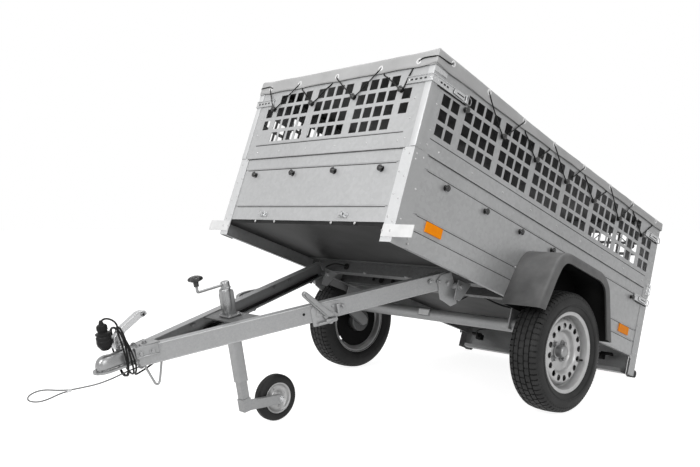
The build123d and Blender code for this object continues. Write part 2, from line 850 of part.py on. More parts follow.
jockey_axle = Axis(foot_point + Vector(0, jockey_trail, 0), (1, 0, 0))
jockey_plane = Plane(origin=foot_point + Vector(0, jockey_trail, 0), x_dir=(1, 0, 0), z_dir=(0, -1, 0))
jockey_half = jockey_tyre_width / 2
with BuildPart() as jockey_tyre:
    with BuildSketch(jockey_plane):
        with BuildLine():
            Polyline(
                (jockey_side + 18, 62),
                (jockey_side + 24, 66),
            )
            ThreePointArc(
                (jockey_side + 24, 66),
                (jockey_side + 18, 92),
                (jockey_side, 100),
            )
            ThreePointArc(
                (jockey_side, 100),
                (jockey_side - 18, 92),
                (jockey_side - 24, 66),
            )
            Polyline(
                (jockey_side - 24, 66),
                (jockey_side - 18, 62),
                (jockey_side + 18, 62),
            )
        make_face()
    revolve(axis=jockey_axle)
keep("jockey_tyre", jockey_tyre)
with BuildPart() as jockey_rim:
    with BuildSketch(jockey_plane):
        with BuildLine():
            Polyline(
                (jockey_side - 24, 8.05),
                (jockey_side - 24, 20),
                (jockey_side - 4, 22),
                (jockey_side - 4, 50),
                (jockey_side - 22, 56),
                (jockey_side - 22, 62 - seat),
                (jockey_side + 22, 62 - seat),
                (jockey_side + 22, 56),
                (jockey_side + 4, 50),
                (jockey_side + 4, 22),
                (jockey_side + 24, 20),
                (jockey_side + 24, 8.05),
                close=True,
            )
        make_face()
    revolve(axis=jockey_axle)
keep("jockey_rim", jockey_rim)

# ---- coupling head: a domed cup for the tow ball, with cheeks bolted over the legs ----
nose_along = 1430.0            # middle of the ball
head_rear = 1316.0
ball_bore = 25.5
cup_low = 18.0
cup_high = 40.0
head_top = leg_height + 14
head_sections = [
    # height, nose middle, nose radius, half width at the rear
    (23.0, 1430.0, 34.0, 36.0),
    (48.0, 1431.0, 33.0, 36.0),
    (leg_height, 1425.0, 24.0, 33.0),
    (head_top, 1408.0, 14.0, 22.0),
]


def head_plan(height, middle, radius, rear_half):
    # plan of the head: a round nose and straight sides back to the legs
    with BuildSketch(bar.offset(height)) as plan:
        with BuildLine():
            ThreePointArc((-radius, -middle), (0, -middle - radius), (radius, -middle))
            Polyline((radius, -middle), (rear_half, -head_rear), (-rear_half, -head_rear), (-radius, -middle))
        make_face()
    return plan.sketch


head_plans = [head_plan(*section) for section in head_sections]
lip_plan = head_plan(cup_low, nose_along, 37.0, 38.0)
with BuildPart() as coupling_head:
    loft(head_plans)
    extrude(lip_plan, amount=6, dir=bar.z_dir)
    # a bridge over the front ends of the legs, and a cheek on the outside of each
    with BuildSketch(bar.offset(leg_height + seat)):
        with Locations((0, -head_rear + 45)):
            Rectangle(64, 100)
    extrude(amount=4)
    for side in (1, -1):
        with BuildSketch(leg_face(side, leg_front)):
            with Locations((33, 53)):
                Rectangle(88, 40)
        extrude(amount=side * 3.5)
    with BuildSketch(bar.offset(cup_low - 5)):
        with Locations((0, -nose_along)):
            Circle(ball_bore)
    extrude(amount=cup_high - cup_low + 5, mode=Mode.SUBTRACT)
    with Locations(bar.offset(cup_high).location):
        with Locations((0, -nose_along, 0)):
            Sphere(ball_bore, mode=Mode.SUBTRACT)
    # under the neck, behind the cup, the head is a hollow channel
    with BuildSketch(bar.offset(cup_low - 5)):
        with Locations((0, -head_rear - 32)):
            Rectangle(58, 60)
    extrude(amount=45, mode=Mode.SUBTRACT)
keep("coupling_head", coupling_head)

handle_width = 32.0
handle_wall = 3.0
with BuildPart() as coupling_handle:
    with BuildSketch(across(bar, -handle_width / 2)):
        with BuildLine():
            Polyline(
                (-plug_along + plug_radius + seat, head_top + seat),
                (-1336, head_top + seat),
                (-1324, 126),
                (-1262, 157),
                (-1240, 158),
                (-1232, 176),
                (-1244, 194),
                (-1264, 199),
                (-1343, 160),
                (-plug_along + plug_radius + seat, 126),
                close=True,
            )
        make_face()
    extrude(amount=handle_width)
    # the lever is a channel, open underneath
    with BuildSketch(across(bar, -handle_width / 2 + handle_wall)):
        with BuildLine():
            Polyline((-1330, 110), (-1236, 150), (-1236, 172), (-1262, 192), (-1330, 158), close=True)
        make_face()
    extrude(amount=handle_width - 2 * handle_wall, mode=Mode.SUBTRACT)
keep("coupling_handle", coupling_handle)

# ---- wire rest under the legs' front end, a bent rod ----
rest_rod = 8.0
rest_side = leg_edge(1270.0, 14.0)
rest_points = [(-1292, -1.8), (-1270, -74), (-1252, -74), (-1226, -1.8)]
with BuildPart() as cable_rest:
    with BuildLine(across(bar, rest_side - 6)):
        rest_line = FilletPolyline(*rest_points, radius=8)
    with BuildSketch(Plane(origin=rest_line @ 0, z_dir=rest_line % 0)):
        Circle(rest_rod / 2)
    sweep()
keep("cable_rest", cable_rest)


# ---- cables: tubes along runs and tangent arcs ----
def world(point):
    # a point given across the trailer, ahead of the hinge and above the legs' lower edge
    return bar.from_local_coords(Vector(point[0], -point[1], point[2]))


def arc_radii(points):
    radii = []
    for before, corner, after in zip(points, points[1:], points[2:]):
        first, second = corner - before, after - corner
        turn = first.get_angle(second)
        radii.append(0.45 * min(first.length, second.length) / tan(radians(turn / 2)))
    return radii


def cable(name, points, diameter):
    radii = arc_radii(points)
    with BuildPart() as tube:
        with BuildLine():
            line = FilletPolyline(*points, radius=radii)
        with BuildSketch(Plane(origin=line @ 0, z_dir=line % 0)):
            Circle(diameter / 2)
        sweep()
    keep(name, tube)
    section = pi * diameter ** 2 / 4
    print(name, "length", round(line.length), "volume ratio", round(tube.part.volume / section / line.length, 4),
          "radii", [round(r) for r in radii])


# ---- the lighting plug hangs over the coupling head ----
plug_low = head_top + 8
plug_top = 188.0
with BuildPart() as plug:
    with BuildSketch(across(bar, 0)):
        with BuildLine():
            Polyline(
                (-plug_along, plug_low),
                (-plug_along + plug_radius - 8, plug_low),
                (-plug_along + plug_radius, plug_low + 12),
                (-plug_along + plug_radius, plug_low + 38),
                (-plug_along + plug_radius - 3, plug_low + 42),
                (-plug_along + plug_radius - 3, plug_low + 62),
                (-plug_along + plug_radius, plug_low + 64),
                (-plug_along + plug_radius, plug_low + 68),
                (-plug_along + 18, plug_low + 70),
                (-plug_along + 18, plug_top - 6),
                (-plug_along + 11, plug_top),
                (-plug_along, plug_top),
                close=True,
            )
        make_face()
    revolve(axis=Axis(world((0, plug_along, 0)), bar.z_dir))
keep("plug", plug)

# its cable goes over to the coil, three loose turns round the lever and the neck of the head
plug_route = [
    (0, plug_along, plug_top),
    (0, plug_along, 213),
    (10, 1391, 228),
    (24, 1368, 217),
    (30, 1361, 192),
    (31, 1362, 169),
]
cable("plug_cable", [world(p) for p in plug_route], cable_dia)

coil_lean = 12.0
coil_plane = Plane(
    origin=world((0, 1340, 65.6)),
    x_dir=(1, 0, 0),
    z_dir=bar.y_dir * cos(radians(coil_lean)) + bar.z_dir * sin(radians(coil_lean)),
)
coil_thick = 36.0
with BuildPart() as cable_coil:
    with BuildSketch(coil_plane):
        RectangleRounded(124, 228, 58)
        RectangleRounded(88, 192, 42, mode=Mode.SUBTRACT)
    extrude(amount=coil_thick / 2, both=True)
keep("cable_coil", cable_coil)

# and from the coil to a conduit that lies in the far leg
conduit_dia = 13.0
conduit_front = 925.0          # ahead of the hinge
conduit_rear = 70.0
conduit_inset = 18.0           # its axis, from the leg's outer face
conduit_height = leg_sheet + seat + conduit_dia / 2


def conduit_point(ahead):
    return (-leg_edge(ahead, conduit_inset), ahead, conduit_height)


with BuildPart() as cable_conduit:
    with BuildLine():
        conduit_line = Line(world(conduit_point(conduit_front)), world(conduit_point(conduit_rear)))
    with BuildSketch(Plane(origin=conduit_line @ 0, z_dir=conduit_line % 0)):
        Circle(conduit_dia / 2)
        Circle(cable_dia / 2 + 0.2, mode=Mode.SUBTRACT)
    sweep()
keep("cable_conduit", cable_conduit)

lead_route = [
    (-14, 1300, -34),
    (-12, 1270, -30),
    (-8, 1232, -18),
    (-8, 1190, 4),
    (-18, 1145, 20),
    (-42, 1098, 28),
    (-70, 1050, 27),
    (-98, 1006, 18),
    conduit_point(963),
    conduit_point(conduit_front - 8),
]
cable("lead_cable", [world(p) for p in lead_route], cable_dia)

# ---- breakaway rope: a sheathed wire with a loop at its end ----
# it starts at an eye under the legs' front end
with BuildPart() as rope_eye:
    with BuildSketch(across(bar, -4)):
        with BuildLine():
            Polyline((-1300, -seat), (-1300, -14), (-1294, -18), (-1286, -18), (-1280, -14), (-1280, -seat), close=True)
        make_face()
    extrude(amount=8)
keep("rope_eye", rope_eye)
rope_route = [
    (0, 1300, -8),
    (7, 1324, -6.5),
    (22, 1357, -3),
    (33, 1393, -3),
    (35, 1436, -6.5),
    (26, 1480, -9.5),
    (10, 1524, -8),
    (-1.5, 1567, -4.5),
    (-13, 1605, 6),
    (-31, 1637, 16.5),
    (-31, 1666, 21),
    (-16, 1695, 21.5),
    (6, 1712, 20),
    (29, 1717, 16),
    (45, 1703, 10),
    (46, 1680, 5),
    (35, 1652, 1.5),
    (20, 1620, 0),
    (7, 1591, -3),
    (4, 1571, -5),
]
cable("breakaway_cable", [world(p) for p in rope_route], rope_dia)
ferrule_length = 18.0
with BuildPart() as rope_ferrule:
    with BuildSketch(facing(bar, -1562)):
        with Locations((1.5, -5)):
            SlotOverall(14, 8)
    extrude(amount=ferrule_length)
keep("rope_ferrule", rope_ferrule)

# ---- tilt locks: a bracket on the outside of each leg, with a spring lever ----
lock_sheet = 4.0
lever_rod = 10.0
with BuildPart() as tilt_locks:
    for side in (1, -1):
        with BuildSketch(leg_face(side, 585)):
            with BuildLine():
                Polyline((-70, -20), (20, -20), (42, 6), (62, 12), (72, 30), (60, 66), (-52, 76), (-72, 50), close=True)
            make_face()
        extrude(amount=side * lock_sheet)
        # the lever lies along the bracket, on a pivot
        with BuildSketch(leg_face(side, 585)):
            with Locations((10, 14)):
                Circle(11)
        extrude(amount=side * (lock_sheet + 12))
        with BuildSketch(leg_face(side, 585).offset(side * (lock_sheet + 4 - lever_rod / 2 + 3))):
            with BuildLine():
                Polyline((4, 26), (16, 16), (-66, 128), (-80, 136), (-88, 126), (-78, 118), close=True)
            make_face()
        extrude(amount=side * 6)
keep("tilt_locks", tilt_locks)

# ---- lock eyes on the front panel ----
eye_face = -bed_front + post_sheet - seat
with BuildPart() as lock_eyes:
    for side in (1, -1):
        with BuildSketch(facing(bed, eye_face)):
            with Locations((side * 275.0, 262.0)):
                SlotOverall(62, 24)
        extrude(amount=4)
        with BuildSketch(across(bed, side * 275.0 - 10)):
            with Locations((eye_face - 13, 262.0)):
                RectangleRounded(22, 18, 4)
                Circle(5, mode=Mode.SUBTRACT)
        extrude(amount=20)
keep("lock_eyes", lock_eyes)

# ---- latches that hold the corners of the mesh sides and the tailgate ----
latch_height = 34.0
with BuildPart() as corner_latches:
    for side in (1, -1):
        # front: along the side and round the corner
        with BuildSketch(level(bed, 836.0)):
            with BuildLine():
                Polyline(
                    (side * (half + seat), -bed_front + 236),
                    (side * (half + 7), -bed_front + 236),
                    (side * (half + 7), -bed_front - 7),
                    (side * (half - 138), -bed_front - 7),
                    (side * (half - 138), -bed_front - seat),
                    (side * (half + seat), -bed_front - seat),
                    close=True,
                )
            make_face()
        extrude(amount=latch_height)
        # rear: one on the mesh side and one on the box
        for height in (828.0, 454.0):
            with BuildSketch(across(bed, side * (half + seat))):
                with Locations((bed_rear - 82, height + latch_height / 2)):
                    Rectangle(150, latch_height)
            extrude(amount=side * 7)
keep("corner_latches", corner_latches)

# ---- the origin is on the ground, in the middle of the trailer without its cords ----
cords = ("plug", "plug_cable", "cable_coil", "lead_cable", "breakaway_cable", "rope_ferrule")
boxes = [solid.bounding_box() for name, solid in parts.items() if name not in cords]
middle = (min(b.min.Y for b in boxes) + max(b.max.Y for b in boxes)) / 2
shift = Location((0, -middle, 0))

os.makedirs("parts", exist_ok=True)
for name, solid in parts.items():
    placed = solid.moved(shift)
    placed.label = name
    export_step(placed, f"parts/{name}.step")
print(f"tip {tip:.2f} middle {middle:.2f} hinge {hinge_point} jockey foot {foot_point}")
print("size", [round(v, 1) for v in (
    min(b.min.X for b in boxes), max(b.max.X for b in boxes), min(b.min.Y for b in boxes),
    max(b.max.Y for b in boxes), min(b.min.Z for b in boxes), max(b.max.Z for b in boxes))])
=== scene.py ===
import json
import math
import bpy
import bmesh
from mathutils import Matrix, Vector, noise


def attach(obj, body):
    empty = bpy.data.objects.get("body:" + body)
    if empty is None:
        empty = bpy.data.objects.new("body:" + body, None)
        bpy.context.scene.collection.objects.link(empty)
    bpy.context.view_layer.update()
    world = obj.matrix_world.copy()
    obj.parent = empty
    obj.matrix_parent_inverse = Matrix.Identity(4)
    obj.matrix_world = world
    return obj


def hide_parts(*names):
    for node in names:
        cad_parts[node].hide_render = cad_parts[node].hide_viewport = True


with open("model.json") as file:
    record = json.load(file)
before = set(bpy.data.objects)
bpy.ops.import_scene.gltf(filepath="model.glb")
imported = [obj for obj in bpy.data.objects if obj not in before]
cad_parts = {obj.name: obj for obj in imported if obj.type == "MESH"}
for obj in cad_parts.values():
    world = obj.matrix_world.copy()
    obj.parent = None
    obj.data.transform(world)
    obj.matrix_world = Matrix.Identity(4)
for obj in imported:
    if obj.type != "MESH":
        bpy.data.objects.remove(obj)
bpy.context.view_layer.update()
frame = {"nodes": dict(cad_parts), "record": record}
joint = {j["name"]: j for j in frame["record"]["behaviour"]["joints"]}
print("frame loaded")

bothSides = ((1, "Left"), (-1, "Right"))       # +X is the left side

# the bed stands tipped to the rear, the drawbar slopes down to the front
stand = {"tip": 19.78, "slope": 10.9}
bedFrame = (Matrix.Translation((0, *joint["wheel_left_spin"]["pos_m"][1:]))
            @ Matrix.Rotation(-math.radians(stand["tip"]), 4, "X"))
barFrame = (Matrix.Translation(joint["tip_hinge"]["pos_m"])
            @ Matrix.Rotation(math.radians(stand["slope"]), 4, "X"))


def link(thing):
    bpy.context.scene.collection.objects.link(thing)


def onBed(x, along, up):
    # across, rearward of the axle, above the axle
    return bedFrame @ Vector((x, along, up))


def onBar(x, ahead, up):
    return barFrame @ Vector((x, -ahead, up))


# camera
shot = {"at": (2.6466, -2.7358, 0.9057), "yaw": 0.8298, "pitch": -0.0295, "roll": 0.0041, "lens": 39.99}
cameraData = bpy.data.cameras.new("camera")
cameraData.lens = shot["lens"]
cameraData.sensor_width = 36
cameraData.clip_end = 100
camera = bpy.data.objects.new("camera", cameraData)
camera.matrix_world = (Matrix.Translation(shot["at"]) @ Matrix.Rotation(shot["yaw"], 4, "Z")
                       @ Matrix.Rotation(math.pi / 2 + shot["pitch"], 4, "X")
                       @ Matrix.Rotation(shot["roll"], 4, "Z"))
link(camera)
bpy.context.scene.camera = camera


# materials
def node(tree, kind, **values):
    new = tree.nodes.new("ShaderNode" + kind)
    for key, value in values.items():
        if key in new.inputs:
            new.inputs[key].default_value = value
        else:
            setattr(new, key, value)
    return new


finishes = {}


def startMaterial(name, **sockets):
    finishes[name] = bpy.data.materials.new(name)
    finishes[name].use_nodes = True
    tree = finishes[name].node_tree
    shader = tree.nodes["Principled BSDF"]
    for key, value in sockets.items():
        shader.inputs[key].default_value = value
    place = node(tree, "TexCoord")
    return tree, shader, place.outputs["Object"]


def grey(value, tint=0.0):
    return (value * (1 - tint), value, value * (1 + tint), 1)


def addRamp(tree, source, stops, target=None):
    ramp = node(tree, "ValToRGB")
    ramp.color_ramp.elements[0].position, ramp.color_ramp.elements[0].color = stops[0]
    ramp.color_ramp.elements[1].position, ramp.color_ramp.elements[1].color = stops[-1]
    for position, colour in stops[1:-1]:
        ramp.color_ramp.elements.new(position).color = colour
    tree.links.new(source, ramp.inputs["Fac"])
    if target:
        tree.links.new(ramp.outputs["Color"], target)
    return ramp.outputs["Color"]


def addRange(tree, source, low, high, target=None):
    span = node(tree, "MapRange")
    span.inputs["To Min"].default_value = low
    span.inputs["To Max"].default_value = high
    tree.links.new(source, span.inputs["Value"])
    if target:
        tree.links.new(span.outputs["Result"], target)
    return span.outputs["Result"]


def addBump(tree, source, shader, strength, distance, before=None):
    bump = node(tree, "Bump", Strength=strength, Distance=distance)
    tree.links.new(source, bump.inputs["Height"])
    if before:
        tree.links.new(before, bump.inputs["Normal"])
    tree.links.new(bump.outputs["Normal"], shader.inputs["Normal"])
    return bump.outputs["Normal"]


def addNoise(tree, place, scale, detail=2.0, stretch=None):
    texture = node(tree, "TexNoise", Scale=scale, Detail=detail)
    if stretch:
        mapping = node(tree, "Mapping")
        mapping.inputs["Scale"].default_value = stretch
        tree.links.new(place, mapping.inputs["Vector"])
        place = mapping.outputs["Vector"]
    tree.links.new(place, texture.inputs["Vector"])
    return texture.outputs["Fac"]


def mixColours(tree, first, second, amount, kind="MIX"):
    mix = node(tree, "Mix", data_type="RGBA", blend_type=kind)
    mix.inputs[0].default_value = amount
    for source, socket in ((first, mix.inputs[6]), (second, mix.inputs[7])):
        tree.links.new(source, socket)
    return mix.outputs[2]


# coated cloth: a plain weave under a thin skin, with a faint crease here and there
def makeCloth(name, tone, thread=0.0016):
    tree, shader, place = startMaterial(name, Roughness=0.5)
    shader.inputs["Sheen Weight"].default_value = 0.12
    addRamp(tree, addNoise(tree, place, 5.0, 5), [(0.3, grey(tone * 0.88)), (0.7, grey(tone * 1.1))],
            shader.inputs["Base Color"])
    addRange(tree, addNoise(tree, place, 22, 3), 0.42, 0.58, shader.inputs["Roughness"])
    weave = None
    for axis in "XYZ":
        wave = node(tree, "TexWave", wave_type="BANDS", bands_direction=axis, Scale=0.314 / thread)
        tree.links.new(place, wave.inputs["Vector"])
        if weave:
            blend = node(tree, "Math", operation="MULTIPLY")
            tree.links.new(weave, blend.inputs[0])
            tree.links.new(wave.outputs["Fac"], blend.inputs[1])
            weave = blend.outputs[0]
        else:
            weave = wave.outputs["Fac"]
    first = addBump(tree, weave, shader, 0.25, 0.0004)
    addBump(tree, addNoise(tree, place, 7.0, 4, (1.0, 0.5, 1.0)), shader, 0.35, 0.004, first)


# galvanised sheet: frost-like spangles, a slow change of tone and faint rolling marks
def makeZinc(name, tone, spread=0.05, spangle=0.014, rough=0.42, metal=0.75, cloud=0.06, grain=0.15):
    tree, shader, place = startMaterial(name, Metallic=metal)
    cells = node(tree, "TexVoronoi", Scale=1 / spangle, Randomness=1.0)
    warp = addNoise(tree, place, 0.9 / spangle, 3)
    push = node(tree, "VectorMath", operation="MULTIPLY_ADD")
    push.inputs[1].default_value = (0.35 * spangle,) * 3
    tree.links.new(warp, push.inputs[0])
    tree.links.new(place, push.inputs[2])
    tree.links.new(push.outputs[0], cells.inputs["Vector"])
    split = node(tree, "SeparateColor")
    tree.links.new(cells.outputs["Color"], split.inputs["Color"])
    spangles = addRamp(tree, split.outputs[0], [(0.0, grey(tone - spread, 0.012)),
                                                (1.0, grey(tone + spread, 0.012))])
    clouds = addRamp(tree, addNoise(tree, place, 2.6, 4), [(0.3, grey(tone - cloud, 0.01)),
                                                           (0.7, grey(tone + cloud, 0.01))])
    specks = addRamp(tree, addNoise(tree, place, 420, 2), [(0.35, grey(tone - 0.4 * spread)),
                                                           (0.65, grey(tone + 0.4 * spread))])
    mixed = mixColours(tree, spangles, clouds, 0.5)
    tree.links.new(mixColours(tree, mixed, specks, 0.3), shader.inputs["Base Color"])
    addRange(tree, split.outputs[1], rough - 0.07, rough + 0.07, shader.inputs["Roughness"])
    first = addBump(tree, addNoise(tree, place, 260, 3), shader, grain, 0.0006)
    addBump(tree, addNoise(tree, place, 3.0, 1), shader, 0.12, 0.004, first)


def makePlastic(name, tone, rough=0.5, grain=900, bump=0.25, spread=0.25):
    tree, shader, place = startMaterial(name)
    stops = [(0.3, grey(tone * (1 - spread))), (0.7, grey(tone * (1 + spread)))]
    addRamp(tree, addNoise(tree, place, 14, 5), stops, shader.inputs["Base Color"])
    addRange(tree, addNoise(tree, place, 30, 3), rough - 0.06, rough + 0.06, shader.inputs["Roughness"])
    addBump(tree, addNoise(tree, place, grain, 2), shader, bump, 0.0004)


def makeColour(name, dark, light, rough, scale=25, bumpScale=300, bump=0.1, **sockets):
    tree, shader, place = startMaterial(name, **sockets)
    addRamp(tree, addNoise(tree, place, scale, 4), [(0.35, dark), (0.65, light)],
            shader.inputs["Base Color"])
    addRange(tree, addNoise(tree, place, scale * 2, 3), rough - 0.05, rough + 0.05,
             shader.inputs["Roughness"])
    addBump(tree, addNoise(tree, place, bumpScale, 2), shader, bump, 0.0005)


makeZinc("sheetZinc", 0.46, metal=0.4)
# painted shade: a darker copy of the sheet zinc for the side panels, rear posts and fold beads
makeZinc("sideShadedZinc", 0.37, metal=0.4)
makeZinc("dipZinc", 0.31, spread=0.035, spangle=0.006, rough=0.48, metal=0.6, grain=0.3)
# painted shade: a much darker copy of the zinc for the crossmembers, plate and hubs under the box
makeZinc("shadedUnderZinc", 0.11, spread=0.03, spangle=0.009, rough=0.5, metal=0.5)
makeZinc("brightZinc", 0.5, spread=0.02, spangle=0.01, rough=0.3, metal=0.7, cloud=0.05, grain=0.03)
makePlastic("guardPlastic", 0.095, rough=0.52)
# black plastic parts; the same black fills holes and slots as painted shade
makePlastic("blackPlasticAndHoleShade", 0.01, rough=0.42, grain=600, bump=0.15)
makePlastic("buttonBlack", 0.014, rough=0.24, grain=300, bump=0.05)
# painted shade: near-black for the sheets inside the wheels and mudguards
makePlastic("shadeBlack", 0.0045, rough=0.7)
makePlastic("cableRubber", 0.009, rough=0.48, grain=1200, bump=0.2)
makePlastic("tyreRubber", 0.017, rough=0.62, grain=1500, bump=0.35, spread=0.35)
makeColour("rimSilver", grey(0.44), grey(0.51), 0.36, bumpScale=700, bump=0.12, Metallic=0.35)
makeZinc("castZinc", 0.27, spread=0.02, spangle=0.016, rough=0.34, metal=0.8, cloud=0.08, grain=0.03)
makeColour("plateWhite", grey(0.7), grey(0.76), 0.34, bumpScale=500, bump=0.08, Metallic=0.25)
# painted highlight: a paler copy of the sheet zinc for fronts that catch the front lamp; painted shade
# darkens its sideways faces
makeZinc("litPaleZinc", 0.62, spread=0.03, metal=0.3, grain=0.08)
# painted shadow: near-black for the strips below the folded lips
makeZinc("foldShade", 0.045, spread=0.01, rough=0.6, metal=0.3)
makeColour("floorBoard", grey(0.01), grey(0.022), 0.55, scale=9, bumpScale=180, bump=0.3)
makeColour("amberLens", (0.98, 0.27, 0.0, 1), (1.0, 0.31, 0.0, 1), 0.42, scale=60, bumpScale=500, bump=0.2)
makeColour("redLens", (0.35, 0.006, 0.006, 1), (0.45, 0.01, 0.01, 1), 0.18, scale=60,
           bumpScale=500, bump=0.15)
makeCloth("coverCloth", 0.4)
makeZinc("wireRope", 0.11, spread=0.04, spangle=0.002, rough=0.4, metal=0.7, grain=0.6)
paintwork = {
    "sheetZinc": ["front_panel", "mesh_front", "mesh_rear", "tailgate"],
    # front posts: painted highlight on the front faces, painted shade on the sides
    "litPaleZinc": ["front_posts"],
    # side panels, side meshes and rear posts: painted shade
    "sideShadedZinc": ["side_panel_left", "side_panel_right", "mesh_side_left", "mesh_side_right", "rear_posts"],
    "dipZinc": ["drawbar_leg_left", "drawbar_leg_right", "leg_end_plates", "hinge_brackets",
                "rear_crossbar", "axle_tube", "swing_arms", "jockey_leg", "jockey_arm", "rope_eye"],
    # crossmembers and plate under the box: painted shade
    "shadedUnderZinc": ["hinge_crossmember", "axle_crossmember", "cross_plate"],
    "plateWhite": ["marker_plates"],
    "brightZinc": ["lock_eyes", "tailgate_hinges", "tailgate_knuckles"],
    "blackPlasticAndHoleShade": ["rear_feet", "cable_conduit"],
    "floorBoard": ["bed_floor"],
    "amberLens": ["side_reflectors"],
}
for finish, names in paintwork.items():
    for name in names:
        part = frame["nodes"][name].data
        part.materials.clear()
        part.materials.append(finishes[finish])


def paintFacingShade(material, axis, low, high, share):
    # painted shade: darkens the colour of faces that look sideways (X) or down (Z), between two values of
    # the normal
    tree = material.node_tree
    base = tree.nodes["Principled BSDF"].inputs["Base Color"]
    source = base.links[0].from_socket
    split = node(tree, "SeparateXYZ")
    tree.links.new(node(tree, "NewGeometry").outputs["Normal"], split.inputs[0])
    size = split.outputs[axis]
    turned = node(tree, "Math", operation="ABSOLUTE" if axis == "X" else "MULTIPLY")
    turned.inputs[1].default_value = -1
    tree.links.new(size, turned.inputs[0])
    dim = addRamp(tree, turned.outputs[0], [(low, grey(1.0)), (high, grey(share))])
    mixed = mixColours(tree, source, dim, 1.0, "MULTIPLY")
    tree.links.new(mixed, base)


# painted shade on the sideways faces of the lit pale zinc
paintFacingShade(finishes["litPaleZinc"], "X", 0.3, 0.9, 0.6)
# painted shade on the cover's down-facing underside
paintFacingShade(finishes["coverCloth"], "Z", 0.6, 0.85, 0.12)
shine = {"tyreRubber": 0.28, "blackPlasticAndHoleShade": 0.15, "cableRubber": 0.15, "floorBoard": 0.12,
         "shadeBlack": 0.12, "amberLens": 0.12}
for name, amount in shine.items():
    finishes[name].node_tree.nodes["Principled BSDF"].inputs["Specular IOR Level"].default_value = amount
print("materials ready")


# floor, lamps and background
def showWhite(tree):
    # 1 where the camera, a reflection or a clear piece looks
    path = node(tree, "LightPath")
    total = path.outputs["Is Camera Ray"]
    for ray in ("Is Glossy Ray", "Is Transmission Ray"):
        adder = node(tree, "Math", operation="MAXIMUM")
        tree.links.new(total, adder.inputs[0])
        tree.links.new(path.outputs[ray], adder.inputs[1])
        total = adder.outputs[0]
    return total


studio = {"world": 0.36, "floorGlow": 0.9, "floorColour": 0.42}
world = bpy.data.worlds.new("studio")
world.use_nodes = True
bpy.context.scene.world = world
tree = world.node_tree
backdrop = tree.nodes["Background"]
backdrop.inputs["Color"].default_value = (1, 1, 1, 1)
addRange(tree, showWhite(tree), studio["world"], 1.0, backdrop.inputs["Strength"])

tree, shader = startMaterial("floorPaper", Roughness=0.9)[:2]
shader.inputs["Base Color"].default_value = grey(studio["floorColour"])
glow = node(tree, "Emission")
addRange(tree, showWhite(tree), 0.0, studio["floorGlow"], glow.inputs["Strength"])
both = node(tree, "AddShader")
tree.links.new(shader.outputs[0], both.inputs[0])
tree.links.new(glow.outputs[0], both.inputs[1])
tree.links.new(both.outputs[0], tree.nodes["Material Output"].inputs["Surface"])
mesh = bpy.data.meshes.new("floor")
bm = bmesh.new()
bmesh.ops.create_grid(bm, x_segments=1, y_segments=1, size=30, matrix=Matrix.Translation((0, 0, -0.0015)))
bm.to_mesh(mesh)
bm.free()
floor = bpy.data.objects.new("floor", mesh)
mesh.materials.append(finishes["floorPaper"])
link(floor)

lamps = [
    # name, place, aimed at, size, watts
    ("frontLamp", (0.4, -5.6, 3.6), (0.0, -0.6, 0.8), 3.0, 190),
    ("sideLamp", (5.0, -3.0, 3.0), (0.3, -0.4, 0.6), 2.6, 110),
    ("topLamp", (0.5, 0.4, 5.5), (0.0, 0.2, 0.5), 4.0, 135),
]
for name, place, aim, size, watts in lamps:
    data = bpy.data.lights.new(name, "AREA")
    data.shape = "DISK"
    data.size = size
    data.energy = watts
    lamp = bpy.data.objects.new(name, data)
    turn = (Vector(aim) - Vector(place)).to_track_quat("-Z", "Y")
    lamp.matrix_world = Matrix.Translation(place) @ turn.to_matrix().to_4x4()
    link(lamp)
bpy.context.scene.view_settings.view_transform = "Standard"
print("camera, lamps and floor ready")


# modelling helpers
def settle(bm, old, place):
    new = [v for v in bm.verts if v not in old]
    bmesh.ops.transform(bm, matrix=place, verts=new)
    return new


def carry(bm, place):
    bmesh.ops.transform(bm, matrix=place, verts=bm.verts)


def thicken(piece, wall, offset=-1):
    shell = piece.modifiers.new("wall", "SOLIDIFY")
    shell.thickness = wall
    shell.offset = offset


def addBlock(bm, size, centre=(0, 0, 0), place=Matrix(), soft=0.0, segments=2):
    made = bmesh.ops.create_cube(bm, size=1, matrix=Matrix.Translation(centre)
                                 @ Matrix.Diagonal((*size, 1)))["verts"]
    if soft:
        edges = list({edge for v in made for edge in v.link_edges})
        made = bmesh.ops.bevel(bm, geom=edges, offset=soft, segments=segments, profile=0.5,
                               affect="EDGES", material=-1)["verts"]
    bmesh.ops.transform(bm, matrix=place, verts=made)


def addRod(bm, start, end, radius, place=Matrix(), segments=16, tip=None):
    start, end = Vector(start), Vector(end)
    turn = (end - start).to_track_quat("Z", "Y").to_matrix().to_4x4()
    bmesh.ops.create_cone(bm, cap_ends=True, segments=segments, radius1=radius,
                          radius2=radius if tip is None else tip,
                          depth=(end - start).length, matrix=place
                          @ Matrix.Translation((start + end) / 2) @ turn)


def addTurned(bm, profile, place=Matrix(), steps=40):
    # (radius, height) pairs turned about the local Z
    old = set(bm.verts)
    verts = [bm.verts.new((radius, 0, height)) for radius, height in profile]
    edges = [bm.edges.new(pair) for pair in zip(verts, verts[1:])]
    bmesh.ops.spin(bm, geom=verts + edges, cent=(0, 0, 0), axis=(0, 0, 1), angle=2 * math.pi, steps=steps,
                   use_merge=True, use_duplicate=False)
    new = settle(bm, old, place)
    bmesh.ops.remove_doubles(bm, verts=new, dist=1e-6)


